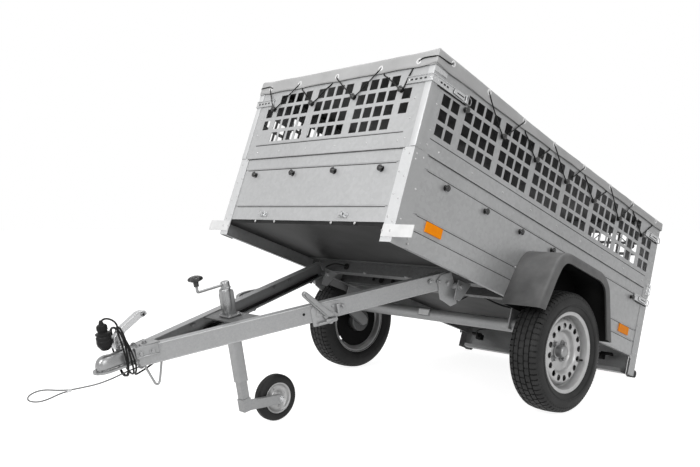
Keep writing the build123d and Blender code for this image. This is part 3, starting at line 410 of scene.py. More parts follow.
def addSlab(bm, outline, thick, place=Matrix(), soft=0.0, corner=0.0, segments=2):
    # a flat outline in the local XY plane, thickened along the local Z
    old = set(bm.verts)
    verts = [bm.verts.new((x, y, 0)) for x, y in outline]
    face = bm.faces.new(verts)
    if corner:
        known = set(bm.faces) - {face}
        bmesh.ops.bevel(bm, geom=verts, offset=corner, segments=5, profile=0.5, affect="VERTICES",
                        material=-1)
        face = [f for f in bm.faces if f not in known][0]
    top = bmesh.ops.extrude_face_region(bm, geom=[face], use_keep_orig=True)["geom"]
    bmesh.ops.translate(bm, vec=(0, 0, thick), verts=[g for g in top if isinstance(g, bmesh.types.BMVert)])
    if soft:
        lid = [g for g in top if isinstance(g, bmesh.types.BMFace)][0]
        bmesh.ops.bevel(bm, geom=list(lid.edges), offset=soft, segments=segments, profile=0.5,
                        affect="EDGES", material=-1)
    return settle(bm, old, place)


def makeObject(bm, name, finish, smooth):
    bmesh.ops.remove_doubles(bm, verts=bm.verts, dist=1e-6)
    bmesh.ops.recalc_face_normals(bm, faces=bm.faces)
    mesh = bpy.data.meshes.new(name)
    bm.to_mesh(mesh)
    bm.free()
    mesh.materials.append(finishes[finish])
    mesh.shade_smooth()
    mesh.set_sharp_from_angle(angle=math.radians(smooth))
    piece = bpy.data.objects.new(name, mesh)
    link(piece)
    return piece


def addPiece(bm, name, finish, body, smooth=35, stands=()):
    piece = makeObject(bm, name, finish, smooth)
    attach(piece, body)
    if stands:
        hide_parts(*stands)
    return piece


def addRope(name, points, diameter, finish, body, stands=(), resolution=6):
    # one smooth line through the middle of its points' runs
    curve = bpy.data.curves.new(name, "CURVE")
    curve.dimensions = "3D"
    spline = curve.splines.new("NURBS")
    spline.points.add(len(points) - 1)
    for knot, point in zip(spline.points, points):
        knot.co = (*point, 1)
    spline.order_u = 3
    spline.use_endpoint_u = True
    spline.resolution_u = resolution
    curve.bevel_depth = diameter / 2
    curve.bevel_resolution = 3
    curve.use_fill_caps = True
    curve.materials.append(finishes[finish])
    rope = bpy.data.objects.new(name, curve)
    link(rope)
    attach(rope, body)
    if stands:
        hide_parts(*stands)
    return rope


def facingOut(at, out, up=(0, 0, 1)):
    # a place whose local Z looks along out and whose local Y is as near to up as can be
    out, up = Vector(out).normalized(), Vector(up)
    across = up.cross(out).normalized()
    turn = Matrix((across, out.cross(across), out)).transposed().to_4x4()
    return Matrix.Translation(at) @ turn


bedUp = bedFrame.to_3x3() @ Vector((0, 0, 1))
bedBack = bedFrame.to_3x3() @ Vector((0, 1, 0))
barUp = barFrame.to_3x3() @ Vector((0, 0, 1))
barAhead = barFrame.to_3x3() @ Vector((0, -1, 0))
box = {"side": 0.586, "front": -1.088, "rear": 0.949}
leg = {"half": 0.434, "start": 0.034, "slope": 0.314757}
mm = 0.001


def oblong(halfX, halfY):
    return [(-halfX, -halfY), (halfX, -halfY), (halfX, halfY), (-halfX, halfY)]


def disc(radius, tall):
    return [(0, tall), (radius, tall), (radius, 0)]


def roundAt(radius, degrees, height):
    return (radius * math.cos(math.radians(degrees)), radius * math.sin(math.radians(degrees)), height)


def lifted(place, height):
    return place @ Matrix.Translation((0, 0, height))


def bedFace(way, x, along, up):
    # a place on the bed that looks to a side (1 or -1), to the front, to the rear or down
    if way in (1, -1):
        return facingOut(onBed(x, along, up), (way, 0, 0), bedUp)
    if way == "below":
        return facingOut(onBed(x, along, up), -bedUp, bedBack)
    return facingOut(onBed(x, along, up), bedBack if way == "rear" else -bedBack, bedUp)


def barTop(x, ahead, up):
    # on the drawbar, local Z up and local Y ahead
    return facingOut(onBar(x, ahead, up), barUp, barAhead)


def onSide(side, along, up, out=0.0):
    # on the bed's side, facing outwards, local Y up the side
    return bedFace(side, side * (box["side"] + out), along, up)


def onFront(x, up, out=0.0):
    return bedFace("front", x, box["front"] - out, up)


def onRear(x, up, out=0.0):
    return bedFace("rear", x, box["rear"] + out, up)


def onLeg(side, ahead, up, out=0.0):
    # on the outer face of a drawbar leg
    outwards = Vector((side, 0, 0)) + leg["slope"] * barAhead
    x = leg["half"] - (ahead - leg["start"]) * leg["slope"]
    return facingOut(onBar(side * x, ahead, up) + outwards.normalized() * out, outwards, barUp)


# the lead: from the conduit in the far leg to three loose turns and up to the plug
lead = {
    "diameter": 7 * mm,
    "start": [(-137.2, 917, 10.3), (-122.7, 963, 10.3), (-98, 1006, 18), (-70, 1050, 27), (-42, 1098, 28),
              (-20, 1145, 20), (-12, 1190, 3), (-18, 1232, -19), (-27, 1262, -32), (-24, 1290, -37),
              (-10, 1316, -36)],
    "end": [(32, 1367, 172), (30, 1370, 186), (23, 1379, 199), (12, 1393, 207), (3, 1405, 205),
            (0, 1411, 195), (0, 1411, 184)],
    "widths": (49.0, 57.0, 46.0, 55.0, 47.0),
    "heights": (92.0, 99.0, 91.0, 97.0, 90.0),
    "shifts": (3.0, -3.0, 4.0, -3.0, 2.0),
    "from": -72, "to": 1139, "perTurn": 14, "lean": 4,
}


def between(values, part):
    part = min(max(part, 0), 1) * (len(values) - 1)
    low = min(int(part), len(values) - 2)
    return values[low] + (values[low + 1] - values[low]) * (part - low)


def coilPoint(angle, part):
    width, height = between(lead["widths"], part), between(lead["heights"], part)
    c, s = math.cos(math.radians(angle)), math.sin(math.radians(angle))
    x = math.copysign(abs(c) ** 0.88, c) * width + between(lead["shifts"], part)
    up = math.copysign(abs(s) ** 0.88, s) * height
    back = (18 - 38 * part) * (0.75 - 0.5 * s)
    lean = math.radians(lead["lean"] + 7 * math.sin(9 * part))
    return (x, 1353 + up * math.sin(lean) - back * math.cos(lean),
            69.5 + up * math.cos(lean) + back * math.sin(lean))


turns = (lead["to"] - lead["from"]) / 360
count = int(turns * lead["perTurn"])
leadPoints = list(lead["start"])
for i in range(count + 1):
    leadPoints.append(coilPoint(lead["from"] + 360 * turns * i / count, i / count))
leadPoints += lead["end"]
leadPoints = [onBar(x * mm, ahead * mm, up * mm) for x, ahead, up in leadPoints]
leadCord = addRope("leadCord", leadPoints, lead["diameter"], "cableRubber", "drawbar",
                   stands=["lead_cable", "cable_coil", "plug_cable"])

# the plug, with its cap ring, grip and the tapered sleeve round the lead
plugPlace = barTop(0, 1.411, 0)
bm = bmesh.new()
plugProfile = [(0, 0.093), (0.012, 0.093), (0.017, 0.096), (0.021, 0.103), (0.0245, 0.108), (0.0275, 0.113),
               (0.028, 0.118), (0.028, 0.128), (0.0268, 0.1295), (0.0268, 0.133), (0.0272, 0.134),
               (0.0272, 0.141), (0.026, 0.145), (0.0245, 0.1465), (0.0245, 0.15), (0.0278, 0.1515),
               (0.0278, 0.1565), (0.025, 0.158), (0.0175, 0.1595), (0.0172, 0.164), (0.0178, 0.165),
               (0.0178, 0.184), (0.016, 0.187), (0.0105, 0.188), (0.0095, 0.19), (0.0085, 0.193),
               (0.0066, 0.199), (0.005, 0.203), (0.0036, 0.2035), (0.0036, 0.187), (0, 0.187)]
addTurned(bm, plugProfile, plugPlace, 48)
for i in range(12):       # grip ribs
    addBlock(bm, (0.0022, 0.0035, 0.016), roundAt(0.0178, 30 * i + 8, 0.1745), plugPlace, 0.0006)
for i in range(18):
    turn = plugPlace @ Matrix.Rotation(math.radians(20 * i), 4, "Z")
    addBlock(bm, (0.0022, 0.0018, 0.0085), (0.0276, 0, 0.1225), turn, 0.0005)
addBlock(bm, (0.01, 0.012, 0.006), (0.0, -0.0235, 0.154), plugPlace, 0.0015)
addBlock(bm, (0.016, 0.006, 0.026), (0.0, 0.0245, 0.132), plugPlace, 0.0015)
plugPiece = addPiece(bm, "plugBody", "blackPlasticAndHoleShade", "drawbar", stands=["plug"])

# breakaway rope: stiff sheathed wire with a loop at its end
rope = {"diameter": 5 * mm,
        "points": [(0, 1300, -8), (7, 1324, -6.5), (22, 1357, -3), (33, 1393, -3), (35, 1436, -6.5),
                   (26, 1480, -9.5), (10, 1524, -8), (-1.5, 1567, -4.5), (-13, 1605, 6), (-31, 1637, 16.5),
                   (-31, 1666, 21), (-16, 1695, 21.5), (6, 1712, 20), (29, 1717, 16), (45, 1703, 10),
                   (46, 1680, 5), (35, 1652, 1.5), (20, 1620, 0), (7, 1591, -3), (4, 1571, -5)]}
ropePoints = [onBar(x * mm, ahead * mm, up * mm) for x, ahead, up in rope["points"]]
ropeCord = addRope("breakawayRope", ropePoints, rope["diameter"], "wireRope", "drawbar",
                   stands=["breakaway_cable"], resolution=8)
bm = bmesh.new()
ferrulePlace = facingOut(onBar(0.0015, 1.571, -0.005), barAhead, barUp)
addSlab(bm, oblong(0.007, 0.004), 0.0175, lifted(ferrulePlace, -0.00875), soft=0.001, corner=0.0038)
for shift in (-0.005, 0, 0.005):      # pressed rings
    addBlock(bm, (0.0142, 0.0084, 0.0022), (0, 0, shift), ferrulePlace, 0.001)
ferrule = addPiece(bm, "ropeFerrule", "brightZinc", "drawbar", stands=["rope_ferrule"])
print("cords ready")

# wheels
tyre = {"radius": 0.2735, "inner": 0.608, "width": 0.155, "crown": 0.0045, "treadHalf": 0.058,
        "steps": 264, "groove": 0.006, "grooves": (-0.04, -0.014, 0.014, 0.04), "slot": 0.0028,
        "shoulderCut": 0.0045, "ribCut": 0.004, "wallRibs": 96}
axle = Vector(joint["wheel_left_spin"]["pos_m"])


def wheelPlace(side):
    # local Z runs outwards along the axle, from the middle of the trailer
    return facingOut((0, axle.y, axle.z), (side, 0, 0))


def crown(x):
    # the tread's radius falls a little towards both shoulders
    return tyre["radius"] - tyre["crown"] * (x / tyre["treadHalf"]) ** 2


def makeTyre(side, end):
    bm = bmesh.new()
    middle, radius = tyre["inner"] + tyre["width"] / 2, tyre["radius"]
    tread = []          # across the tread, from the inner shoulder to the outer one
    for centre in tyre["grooves"]:
        tread += [(centre - tyre["slot"], 0), (centre - tyre["slot"] + 0.0012, tyre["groove"]),
                  (centre + tyre["slot"] - 0.0012, tyre["groove"]), (centre + tyre["slot"], 0)]
    shoulders = [(0.0575, 0.005), (0.064, 0.0095), (0.069, 0.016), (0.0725, 0.0235), (0.075, 0.033),
                 (0.0768, 0.043), (0.0775, 0.05), (0.0772, 0.056), (0.0762, 0.057), (0.0755, 0.066),
                 (0.0735, 0.075), (0.07, 0.0835), (0.0665, 0.0875), (0.065, 0.0893)]
    sideWall = [(x, radius - down) for x, down in shoulders]
    profile = [(radius - down, middle - x) for x, down in reversed(shoulders)]
    profile += [(crown(x) - down, middle + x) for x, down in tread]
    profile += [(r, middle + x) for x, r in sideWall]
    profile = [(0.1695, middle - 0.058)] + profile + [(0.1695, middle + 0.058), (0.1665, 0.713),
                                                      (0.1665, 0.658), (0.1695, middle - 0.058)]
    addTurned(bm, profile, steps=tyre["steps"])
    # blocks: on both shoulders and between the grooves, every few steps a face is pushed in
    bm.faces.ensure_lookup_table()
    step = 2 * math.pi / tyre["steps"]
    cuts = {"shoulder": [], "rib": []}
    for face in bm.faces:
        centre = face.calc_center_median()
        reach, x = centre.xy.length, centre.z - middle
        turn = int(((math.atan2(centre.y, centre.x) + 2 * math.pi) % (2 * math.pi)) / step)
        if 0.0463 < abs(x) < 0.07 and reach > radius - 0.018 and (turn + (2 if x > 0 else 0)) % 4 == 0:
            cuts["shoulder"].append(face)
        onRib = abs(x) < 0.038 and reach > radius - 0.003 and abs(abs(x) - 0.015) > tyre["slot"]
        stagger = 2 if x > 0.019 else 1 if x < -0.019 else 0
        if onRib and (turn + stagger) % 5 == 0:
            cuts["rib"].append(face)
    for faces, deep in ((cuts["shoulder"], tyre["shoulderCut"]), (cuts["rib"], tyre["ribCut"])):
        for part in bmesh.ops.extrude_discrete_faces(bm, faces=faces)["faces"]:
            centre = part.calc_center_median()
            away = Vector((centre.x, centre.y, 0)).normalized()
            for v in part.verts:
                v.co -= away * deep
    # small moulded ribs below the shoulder, and a rim guard near the bead
    for i in range(tyre["wallRibs"]):
        turn = Matrix.Rotation(2 * math.pi * i / tyre["wallRibs"], 4, "Z")
        addBlock(bm, (0.008, 0.0035, 0.001), (0.247, 0, middle + 0.0742), turn)
    addTurned(bm, [(0.2105, middle + 0.077), (0.2085, middle + 0.0785), (0.2065, middle + 0.0768)],
              steps=tyre["wallRibs"])
    carry(bm, wheelPlace(side))
    addPiece(bm, "tyre" + end, "tyreRubber", "wheel_" + end.lower(), smooth=28,
             stands=["tyre_" + end.lower()])


# pressed steel wheel: rolled barrel, dished disc and a ring of vents
rim = {"barrel": [(0.1825, 0.6205), (0.182, 0.624), (0.17, 0.6262), (0.1668, 0.632), (0.166, 0.653),
                  (0.151, 0.66), (0.149, 0.668), (0.149, 0.686), (0.152, 0.696), (0.164, 0.702),
                  (0.166, 0.708), (0.1662, 0.736), (0.1685, 0.744), (0.178, 0.7462), (0.1818, 0.748),
                  (0.183, 0.75)],
       "dish": [(0.1482, 0.682), (0.1478, 0.698), (0.1455, 0.713), (0.1405, 0.723), (0.133, 0.7282),
                (0.124, 0.7298), (0.113, 0.7296), (0.1045, 0.7278), (0.0995, 0.724), (0.096, 0.715),
                (0.093, 0.703), (0.0885, 0.6955), (0.08, 0.6925), (0.07, 0.692), (0.04, 0.692),
                (0.0335, 0.692)],
       "wall": 0.003, "vents": 16, "ventCircle": 0.1185, "ventRadius": 0.014, "seat": 0.6935}


def bake(piece):
    # leaves plain mesh in place of the modifiers
    done = bpy.data.meshes.new_from_object(piece.evaluated_get(bpy.context.evaluated_depsgraph_get()))
    piece.modifiers.clear()
    old = piece.data
    piece.data = done
    bpy.data.meshes.remove(old)


def cutHoles(piece, cutter):
    # takes the cutter's rods out of a finished piece
    mesh = bpy.data.meshes.new("cutter")
    cutter.to_mesh(mesh)
    cutter.free()
    tool = bpy.data.objects.new("cutter", mesh)
    link(tool)
    holes = piece.modifiers.new("holes", "BOOLEAN")
    holes.object = tool
    holes.operation = "DIFFERENCE"
    bpy.context.view_layer.update()
    bake(piece)
    bpy.data.objects.remove(tool)
    bpy.data.meshes.remove(mesh)


hub = {"bolts": 4, "circle": 0.049}
for side, end in bothSides:
    body = "wheel_" + end.lower()
    makeTyre(side, end)
    place = wheelPlace(side)
    bm = bmesh.new()
    addTurned(bm, rim["dish"], place, 72)
    wheel = addPiece(bm, "rim" + end, "rimSilver", body, smooth=50,
                     stands=["rim_" + end.lower()])
    thicken(wheel, rim["wall"], 0)
    cutter = bmesh.new()
    for i in range(rim["vents"]):
        start, stop = (roundAt(rim["ventCircle"], 360 * i / rim["vents"], z) for z in (0.7, 0.76))
        addRod(cutter, start, stop, rim["ventRadius"], place, 20)
    cutHoles(wheel, cutter)
    # the barrel joins afterwards, because the cut is only sure on a solid that doesn't cross itself
    bm = bmesh.new()
    addTurned(bm, rim["barrel"], place, 72)
    barrel = makeObject(bm, "barrel", "rimSilver", 50)
    thicken(barrel, rim["wall"], 0)
    bpy.context.view_layer.update()
    bake(barrel)
    bm = bmesh.new()
    for mesh in (wheel.data, barrel.data):
        bm.from_mesh(mesh)
    bm.to_mesh(wheel.data)
    bm.free()
    bpy.data.objects.remove(barrel)
    bm = bmesh.new()
    addTurned(bm, [(0, 0.6055), (0.058, 0.6055), (0.0615, 0.609), (0.062, 0.636), (0.06, 0.64),
                   (0.052, 0.643), (0.05, 0.648), (0.052, 0.679), (0.06, 0.682), (0.061, 0.688),
                   (0.06, 0.69), (0.0, 0.69)], place, 48)
    # the hub in the darker zinc: painted shade
    addPiece(bm, "hub" + end, "shadedUnderZinc", body, stands=["hub_" + end.lower()])
    bm = bmesh.new()
    for i in range(hub["bolts"]):       # wheel bolts on their cone seats
        seat = place @ Matrix.Translation(roundAt(hub["circle"], 90 * i + 38, rim["seat"]))
        addTurned(bm, [(0.0, 0.021), (0.005, 0.0205), (0.0085, 0.019), (0.0092, 0.016), (0.0092, 0.006),
                       (0.0125, 0.0045), (0.0125, 0.0)], seat, 6)
        addTurned(bm, [(0.0165, -0.0005), (0.0158, 0.0016), (0.0128, 0.0016)], seat, 24)
    # centre ring and the cap pressed into the hub
    addTurned(bm, [(0.0, 0.7385), (0.01, 0.7382), (0.0185, 0.7368), (0.0245, 0.733), (0.027, 0.728),
                   (0.0278, 0.715), (0.0285, 0.701), (0.0345, 0.699), (0.0352, 0.6935),
                   (0.0335, 0.691)], place, 48)
    addPiece(bm, "wheelBolts" + end, "castZinc", body)
    bm = bmesh.new()            # painted shade: a black disc behind the vents, where the inside of the wheel lies in shade
    addTurned(bm, [(0.063, 0.648), (0.149, 0.648), (0.149, 0.6465), (0.063, 0.6465), (0.063, 0.648)],
              place, 48)
    addPiece(bm, "wheelShadeDisc" + end, "shadeBlack", body)
    bm = bmesh.new()
    valve = place @ Matrix.Rotation(math.radians(-22), 4, "Z")
    addRod(bm, (0.1475, 0, 0.71), (0.146, 0, 0.72), 0.0068, valve, 14, 0.0052)
    addRod(bm, (0.146, 0, 0.72), (0.1425, 0, 0.734), 0.004, valve, 12)
    addRod(bm, (0.1425, 0, 0.734), (0.1408, 0, 0.742), 0.005, valve, 12)
    addPiece(bm, "valve" + end, "blackPlasticAndHoleShade", body)
print("wheels ready")


def cutBelow(bm, height):
    bmesh.ops.bisect_plane(bm, geom=bm.verts[:] + bm.edges[:] + bm.faces[:], plane_co=(0, height, 0),
                           plane_no=(0, -1, 0), clear_outer=True)


# mudguards: a moulded arch with a rounded outer edge and a skirt
guard = {"outline": [(-0.36, 0.04), (-0.292, 0.292), (-0.268, 0.354), (-0.23, 0.397), (-0.18, 0.412),
                     (0.11, 0.412), (0.162, 0.395), (0.202, 0.358), (0.344, 0.04)],
         "bottom": 0.122, "inner": 0.5838, "outer": 0.7815, "round": 0.021, "edge": 0.014, "skirt": 0.032,
         "lip": 0.01, "wall": 0.0035,
         # the black sheet of painted shade inside the guard
         "shadeWall": 0.0008, "shadeGap": 0.016, "shadeLength": 0.982, "shadeHeight": 0.972}
for side, end in bothSides:
    bm = bmesh.new()
    width = guard["outer"] - guard["inner"]
    outline = [(side * along, up) for along, up in guard["outline"]]
    addSlab(bm, outline, width, corner=guard["round"], soft=guard["edge"], segments=5)
    outerFace = max((f for f in bm.faces if f.calc_center_median().z > width - 1e-5),
                    key=lambda f: f.calc_area())
    bmesh.ops.inset_region(bm, faces=[outerFace], thickness=guard["skirt"])
    hole = list(outerFace.edges)
    bmesh.ops.delete(bm, geom=[outerFace], context="FACES_ONLY")
    turnedIn = bmesh.ops.extrude_edge_only(bm, edges=hole)["geom"]
    bmesh.ops.translate(bm, vec=(0, 0, -guard["lip"]),
                        verts=[g for g in turnedIn if isinstance(g, bmesh.types.BMVert)])
    cutBelow(bm, guard["bottom"])
    place = bedFace(side, side * guard["inner"], 0, 0)
    carry(bm, place)
    piece = addPiece(bm, "mudguard" + end, "guardPlastic", "chassis", smooth=40,
                     stands=["mudguard_" + end.lower()])
    thicken(piece, guard["wall"])
    bm = bmesh.new()        # painted shade: a black sheet just inside the shell, for the unlit inside
    deep = width - guard["shadeGap"]
    addSlab(bm, outline, deep, corner=guard["round"], segments=5)
    bmesh.ops.delete(bm, geom=[f for f in bm.faces if f.calc_center_median().z > deep - 0.0005],
                     context="FACES_ONLY")
    middle = Vector((side * -0.01, 0.2, deep / 2))
    for v in bm.verts:      # a little inside the shell
        v.co.x = middle.x + (v.co.x - middle.x) * guard["shadeLength"]
        v.co.y = middle.y + (v.co.y - middle.y) * guard["shadeHeight"]
        v.co.z = max(v.co.z, 0.0046)
    cutBelow(bm, guard["bottom"] + 0.001)
    bmesh.ops.recalc_face_normals(bm, faces=bm.faces)
    carry(bm, place)
    shadeSheet = addPiece(bm, "guardShadeSheet" + end, "shadeBlack", "chassis", smooth=40)
    thicken(shadeSheet, guard["shadeWall"])
    bm = bmesh.new()        # washers and bolts that hold it to the side
    for along, up in ((-0.292, 0.3), (-0.18, 0.408), (0.05, 0.408), (0.208, 0.28)):
        addTurned(bm, [(0, 0.006), (0.0045, 0.0055), (0.0065, 0.0035), (0.0068, 0.0015), (0.011, 0.0012),
                       (0.011, 0)],
                  onSide(side, along, up, -0.003), 12)
    addPiece(bm, "guardBolts" + end, "dipZinc", "chassis")
print("mudguards ready")


# coupling: bolts, ribs and the release lever over the pressed head
def addBolt(bm, place, radius, tall, washer=1.5):
    # hexagon head on a washer, local Z out of the surface
    addTurned(bm, [(0, tall), (radius * 0.8, tall), (radius, tall * 0.82), (radius, tall * 0.2),
                   (0, tall * 0.2)], place, 6)
    addTurned(bm, [(0, tall * 0.26), (radius * washer * 0.96, tall * 0.26), (radius * washer, tall * 0.18),
                   (radius * washer, 0)], place, 20)


head = {"low": 0.0265, "wall": 0.0035, "lip": 0.014,
        # distance ahead, half width and top of each section, from the nose back
        "sections": [(1.46, 0.005, 0.036), (1.459, 0.012, 0.046), (1.4555, 0.018, 0.056),
                     (1.4505, 0.0228, 0.064), (1.443, 0.0268, 0.0705), (1.433, 0.0296, 0.0748),
                     (1.4205, 0.0308, 0.0764), (1.407, 0.03, 0.0748), (1.395, 0.028, 0.073),
                     (1.38, 0.0276, 0.0752), (1.36, 0.0295, 0.0788), (1.34, 0.0318, 0.08),
                     (1.318, 0.0335, 0.0808)]}
bm = bmesh.new()
chains = []
for ahead, half, top in head["sections"]:
    chain = []
    for i in range(17):
        c, s = math.cos(math.pi * i / 16), math.sin(math.pi * i / 16)
        chain.append(bm.verts.new((math.copysign(abs(c) ** 0.7, c) * half, -ahead,
                                   head["low"] + (top - head["low"]) * abs(s) ** 0.7)))
    chains.append([bm.edges.new(pair) for pair in zip(chain, chain[1:])])
for front, back in zip(chains, chains[1:]):
    bmesh.ops.bridge_loops(bm, edges=front + back)
for v in bm.verts:          # a pressed hollow along each flank, behind the ball
    along, up = -v.co.y, v.co.z
    if 1.325 < along < 1.398 and up < 0.066:
        rise = min(1, max(0, (up - 0.022) / 0.04))
        v.co.x *= 1 - 0.1 * math.sin(math.pi * (along - 1.325) / 0.073) * math.sin(math.pi * rise)
carry(bm, barFrame)
shellPiece = addPiece(bm, "couplingHead", "castZinc", "drawbar", smooth=60,
                      stands=["coupling_head"])
thicken(shellPiece, head["wall"])
smoother = shellPiece.modifiers.new("smooth", "SUBSURF")
smoother.levels = smoother.render_levels = 1

bm = bmesh.new()            # turned-out lip round the lower edge, open to the rear
arc = [(math.sin(math.radians(a)), math.cos(math.radians(a))) for a in range(-90, 91, 9)]
stations = [(-0.041, 1.32, -1, 0)]
stations += [(0.045 * s, 1.4265 + 0.045 * c, s, c) for s, c in arc]
stations += [(0.041, 1.32, 1, 0)]
rows = []
for x, ahead, s, c in stations:
    corners = ((0, 0.0185), (0, 0.0262), (head["lip"], 0.0275), (head["lip"], 0.0185))
    rows.append([bm.verts.new((x - s * inset, c * inset - ahead, up)) for inset, up in corners])
for back, front in zip(rows, rows[1:]):
    for i in range(4):
        bm.faces.new((back[i - 1], back[i], front[i], front[i - 1]))
bm.faces.new(rows[0])
bm.faces.new(reversed(rows[-1]))
carry(bm, barFrame)
addPiece(bm, "couplingLip", "castZinc", "drawbar", smooth=40)
bm = bmesh.new()
for side in (1, -1):
    cheek = onLeg(side, 1.275, 0.053)
    addBlock(bm, (0.088, 0.04, 0.0035), (0, 0, 0.00175), cheek, 0.0012)
    for ahead in (1.299, 1.257):
        addBolt(bm, onLeg(side, ahead, 0.048, 0.0035), 0.0088, 0.01)
    # rolled lower edge of each cheek, and its short rear lip
    addBlock(bm, (0.086, 0.007, 0.006), (0, 0, 0), onLeg(side, 1.2755, 0.0345, 0.0035), 0.0024)
    addBlock(bm, (0.005, 0.038, 0.004), (0, 0, 0), onLeg(side, 1.2335, 0.053, 0.0035), 0.0015)
    addRod(bm, (side * 0.0165, -1.345, 0.098), (side * 0.0215, -1.345, 0.098), 0.0075, barFrame, 20)
    addRod(bm, (side * 0.018, -1.372, 0.09), (side * 0.0225, -1.372, 0.09), 0.0055, barFrame)
addSlab(bm, [(-0.032, -1.321), (0.032, -1.321), (0.04, -1.262), (0.044, -1.221), (-0.044, -1.221),
             (-0.04, -1.262)], 0.004, lifted(barFrame, 0.0703),
        corner=0.004, soft=0.001)
for x, ahead in ((0.0, 1.262), (0.02, 1.298), (-0.02, 1.298)):
    addBolt(bm, barTop(x, ahead, 0.0743), 0.0075, 0.008)
addPiece(bm, "couplingTrim", "castZinc", "drawbar", smooth=40)

lever = {"outline": [(-1.3825, 0.0845), (-1.346, 0.0845), (-1.337, 0.136), (-1.262, 0.1715),
                     (-1.2335, 0.178), (-1.242, 0.197), (-1.27, 0.1975), (-1.345, 0.16), (-1.3825, 0.128)],
         "width": 0.027,
         "eye": (1.252, 0.182)}
bm = bmesh.new()
leverPlace = barFrame @ Matrix(((0, 0, 1, -lever["width"] / 2), (1, 0, 0, 0), (0, 1, 0, 0), (0, 0, 0, 1)))
addSlab(bm, lever["outline"], lever["width"], corner=0.0078)
sides = [f for f in bm.faces if abs(f.normal.z) > 0.9]
rims = list({e for f in sides for e in f.edges})
bmesh.ops.bevel(bm, geom=rims, offset=0.003, segments=3, profile=0.5, affect="EDGES", material=-1)
bmesh.ops.recalc_face_normals(bm, faces=bm.faces)
# pressed hollows in both flanks
flanks = sorted(bm.faces, key=lambda f: f.calc_area())[-2:]
for flank in flanks:
    bmesh.ops.inset_region(bm, faces=[flank], thickness=0.0022)
    bmesh.ops.inset_region(bm, faces=[flank], thickness=0.0014, depth=-0.002)
carry(bm, leverPlace)
leverPiece = addPiece(bm, "couplingLever", "brightZinc", "drawbar", smooth=45,
                      stands=["coupling_handle"])
weighted = leverPiece.modifiers.new("weighted", "WEIGHTED_NORMAL")
weighted.keep_sharp = True
bm = bmesh.new()
for side in (1, -1):        # eyelet through the lever's round end
    eye = facingOut(onBar(side * lever["width"] / 2, *lever["eye"]), (side, 0, 0), barUp)
    addTurned(bm, [(0.0048, 0.0002), (0.0052, 0.0022), (0.0078, 0.0022), (0.0088, 0.0002)], eye, 24)
addPiece(bm, "leverEyelet", "castZinc", "drawbar")
# painted shade: a black disc for the hole through the lever's round end
bm = bmesh.new()
for side in (1, -1):
    eye = facingOut(onBar(side * lever["width"] / 2, *lever["eye"]), (side, 0, 0), barUp)
    addTurned(bm, disc(0.0049, 0.0006), eye, 20)
addPiece(bm, "leverHole", "blackPlasticAndHoleShade", "drawbar")
print("coupling ready")

# wire rest for the lead below the near leg
restSide = leg["half"] - (1.27 - leg["start"]) * leg["slope"] - 0.02
restPoints = [(1.2885, -0.0018), (1.283, -0.018), (1.264, -0.072), (1.259, -0.084), (1.252, -0.0895),
              (1.244, -0.086), (1.2385, -0.075), (1.222, -0.02), (1.217, -0.0018)]
addRope("cableRest", [onBar(restSide, *point) for point in restPoints],
        0.0085, "dipZinc", "drawbar", stands=["cable_rest"])

# jockey wheel: housing, crank, star knob, wheel
jockey = {"ahead": 0.875, "tube": 0.022, "low": -0.212, "top": 0.182, "wall": 0.0035}


def onJockey(up, forward=0.0):
    # local Z up the stand, local Y ahead
    return barTop(0, jockey["ahead"] + forward, up)


bm = bmesh.new()
addSlab(bm, oblong(jockey["tube"], jockey["tube"]), jockey["top"] - 0.012 - jockey["low"],
        onJockey(jockey["low"]), corner=0.005)
bmesh.ops.delete(bm, geom=sorted(bm.faces, key=lambda f: len(f.verts))[-2:], context="FACES_ONLY")
bmesh.ops.recalc_face_normals(bm, faces=bm.faces)
bmesh.ops.solidify(bm, geom=bm.faces[:], thickness=jockey["wall"])
addSlab(bm, [(-0.02, -0.021), (0.02, -0.021), (0.02, 0.012), (-0.02, 0.012)], 0.1, onJockey(0.075),
        corner=0.005, soft=0.001)
# the round housing runs down to a blunt point in front of the tube
housing = [(0, 0.184), (0.019, 0.184), (0.0222, 0.1815), (0.024, 0.176), (0.0243, 0.168), (0.0243, 0.118),
           (0.0235, 0.1), (0.0215, 0.086), (0.0175, 0.074), (0.011, 0.0665), (0, 0.0645)]
addTurned(bm, housing, onJockey(0, 0.006))
cap = [(0, 0.2135), (0.0125, 0.2132), (0.0168, 0.2105), (0.0182, 0.2065), (0.0182, 0.19), (0.0205, 0.1885),
       (0.0205, 0.1835)]
addTurned(bm, cap, onJockey(0))
for side in (1, -1):        # pressed ribs and the welded collar
    addBlock(bm, (0.003, 0.005, 0.07), (side * 0.0125, -jockey["ahead"] - 0.0265, 0.13), barFrame, 0.0012)
    addBlock(bm, (0.03, 0.006, 0.006), (side * 0.03, -jockey["ahead"] + 0.026, 0.0715), barFrame, 0.002)
addBlock(bm, (0.074, 0.06, 0.0075), (0, -jockey["ahead"], 0.0712), barFrame, 0.002)
for x, back in ((0.031, 0.02), (-0.031, 0.02), (0.031, -0.022), (-0.031, -0.022)):
    addBolt(bm, barTop(x, jockey["ahead"] + back, 0.0745), 0.006, 0.0065)
addPiece(bm, "jockeyHousing", "castZinc", "drawbar", smooth=40, stands=["jockey_stand"])

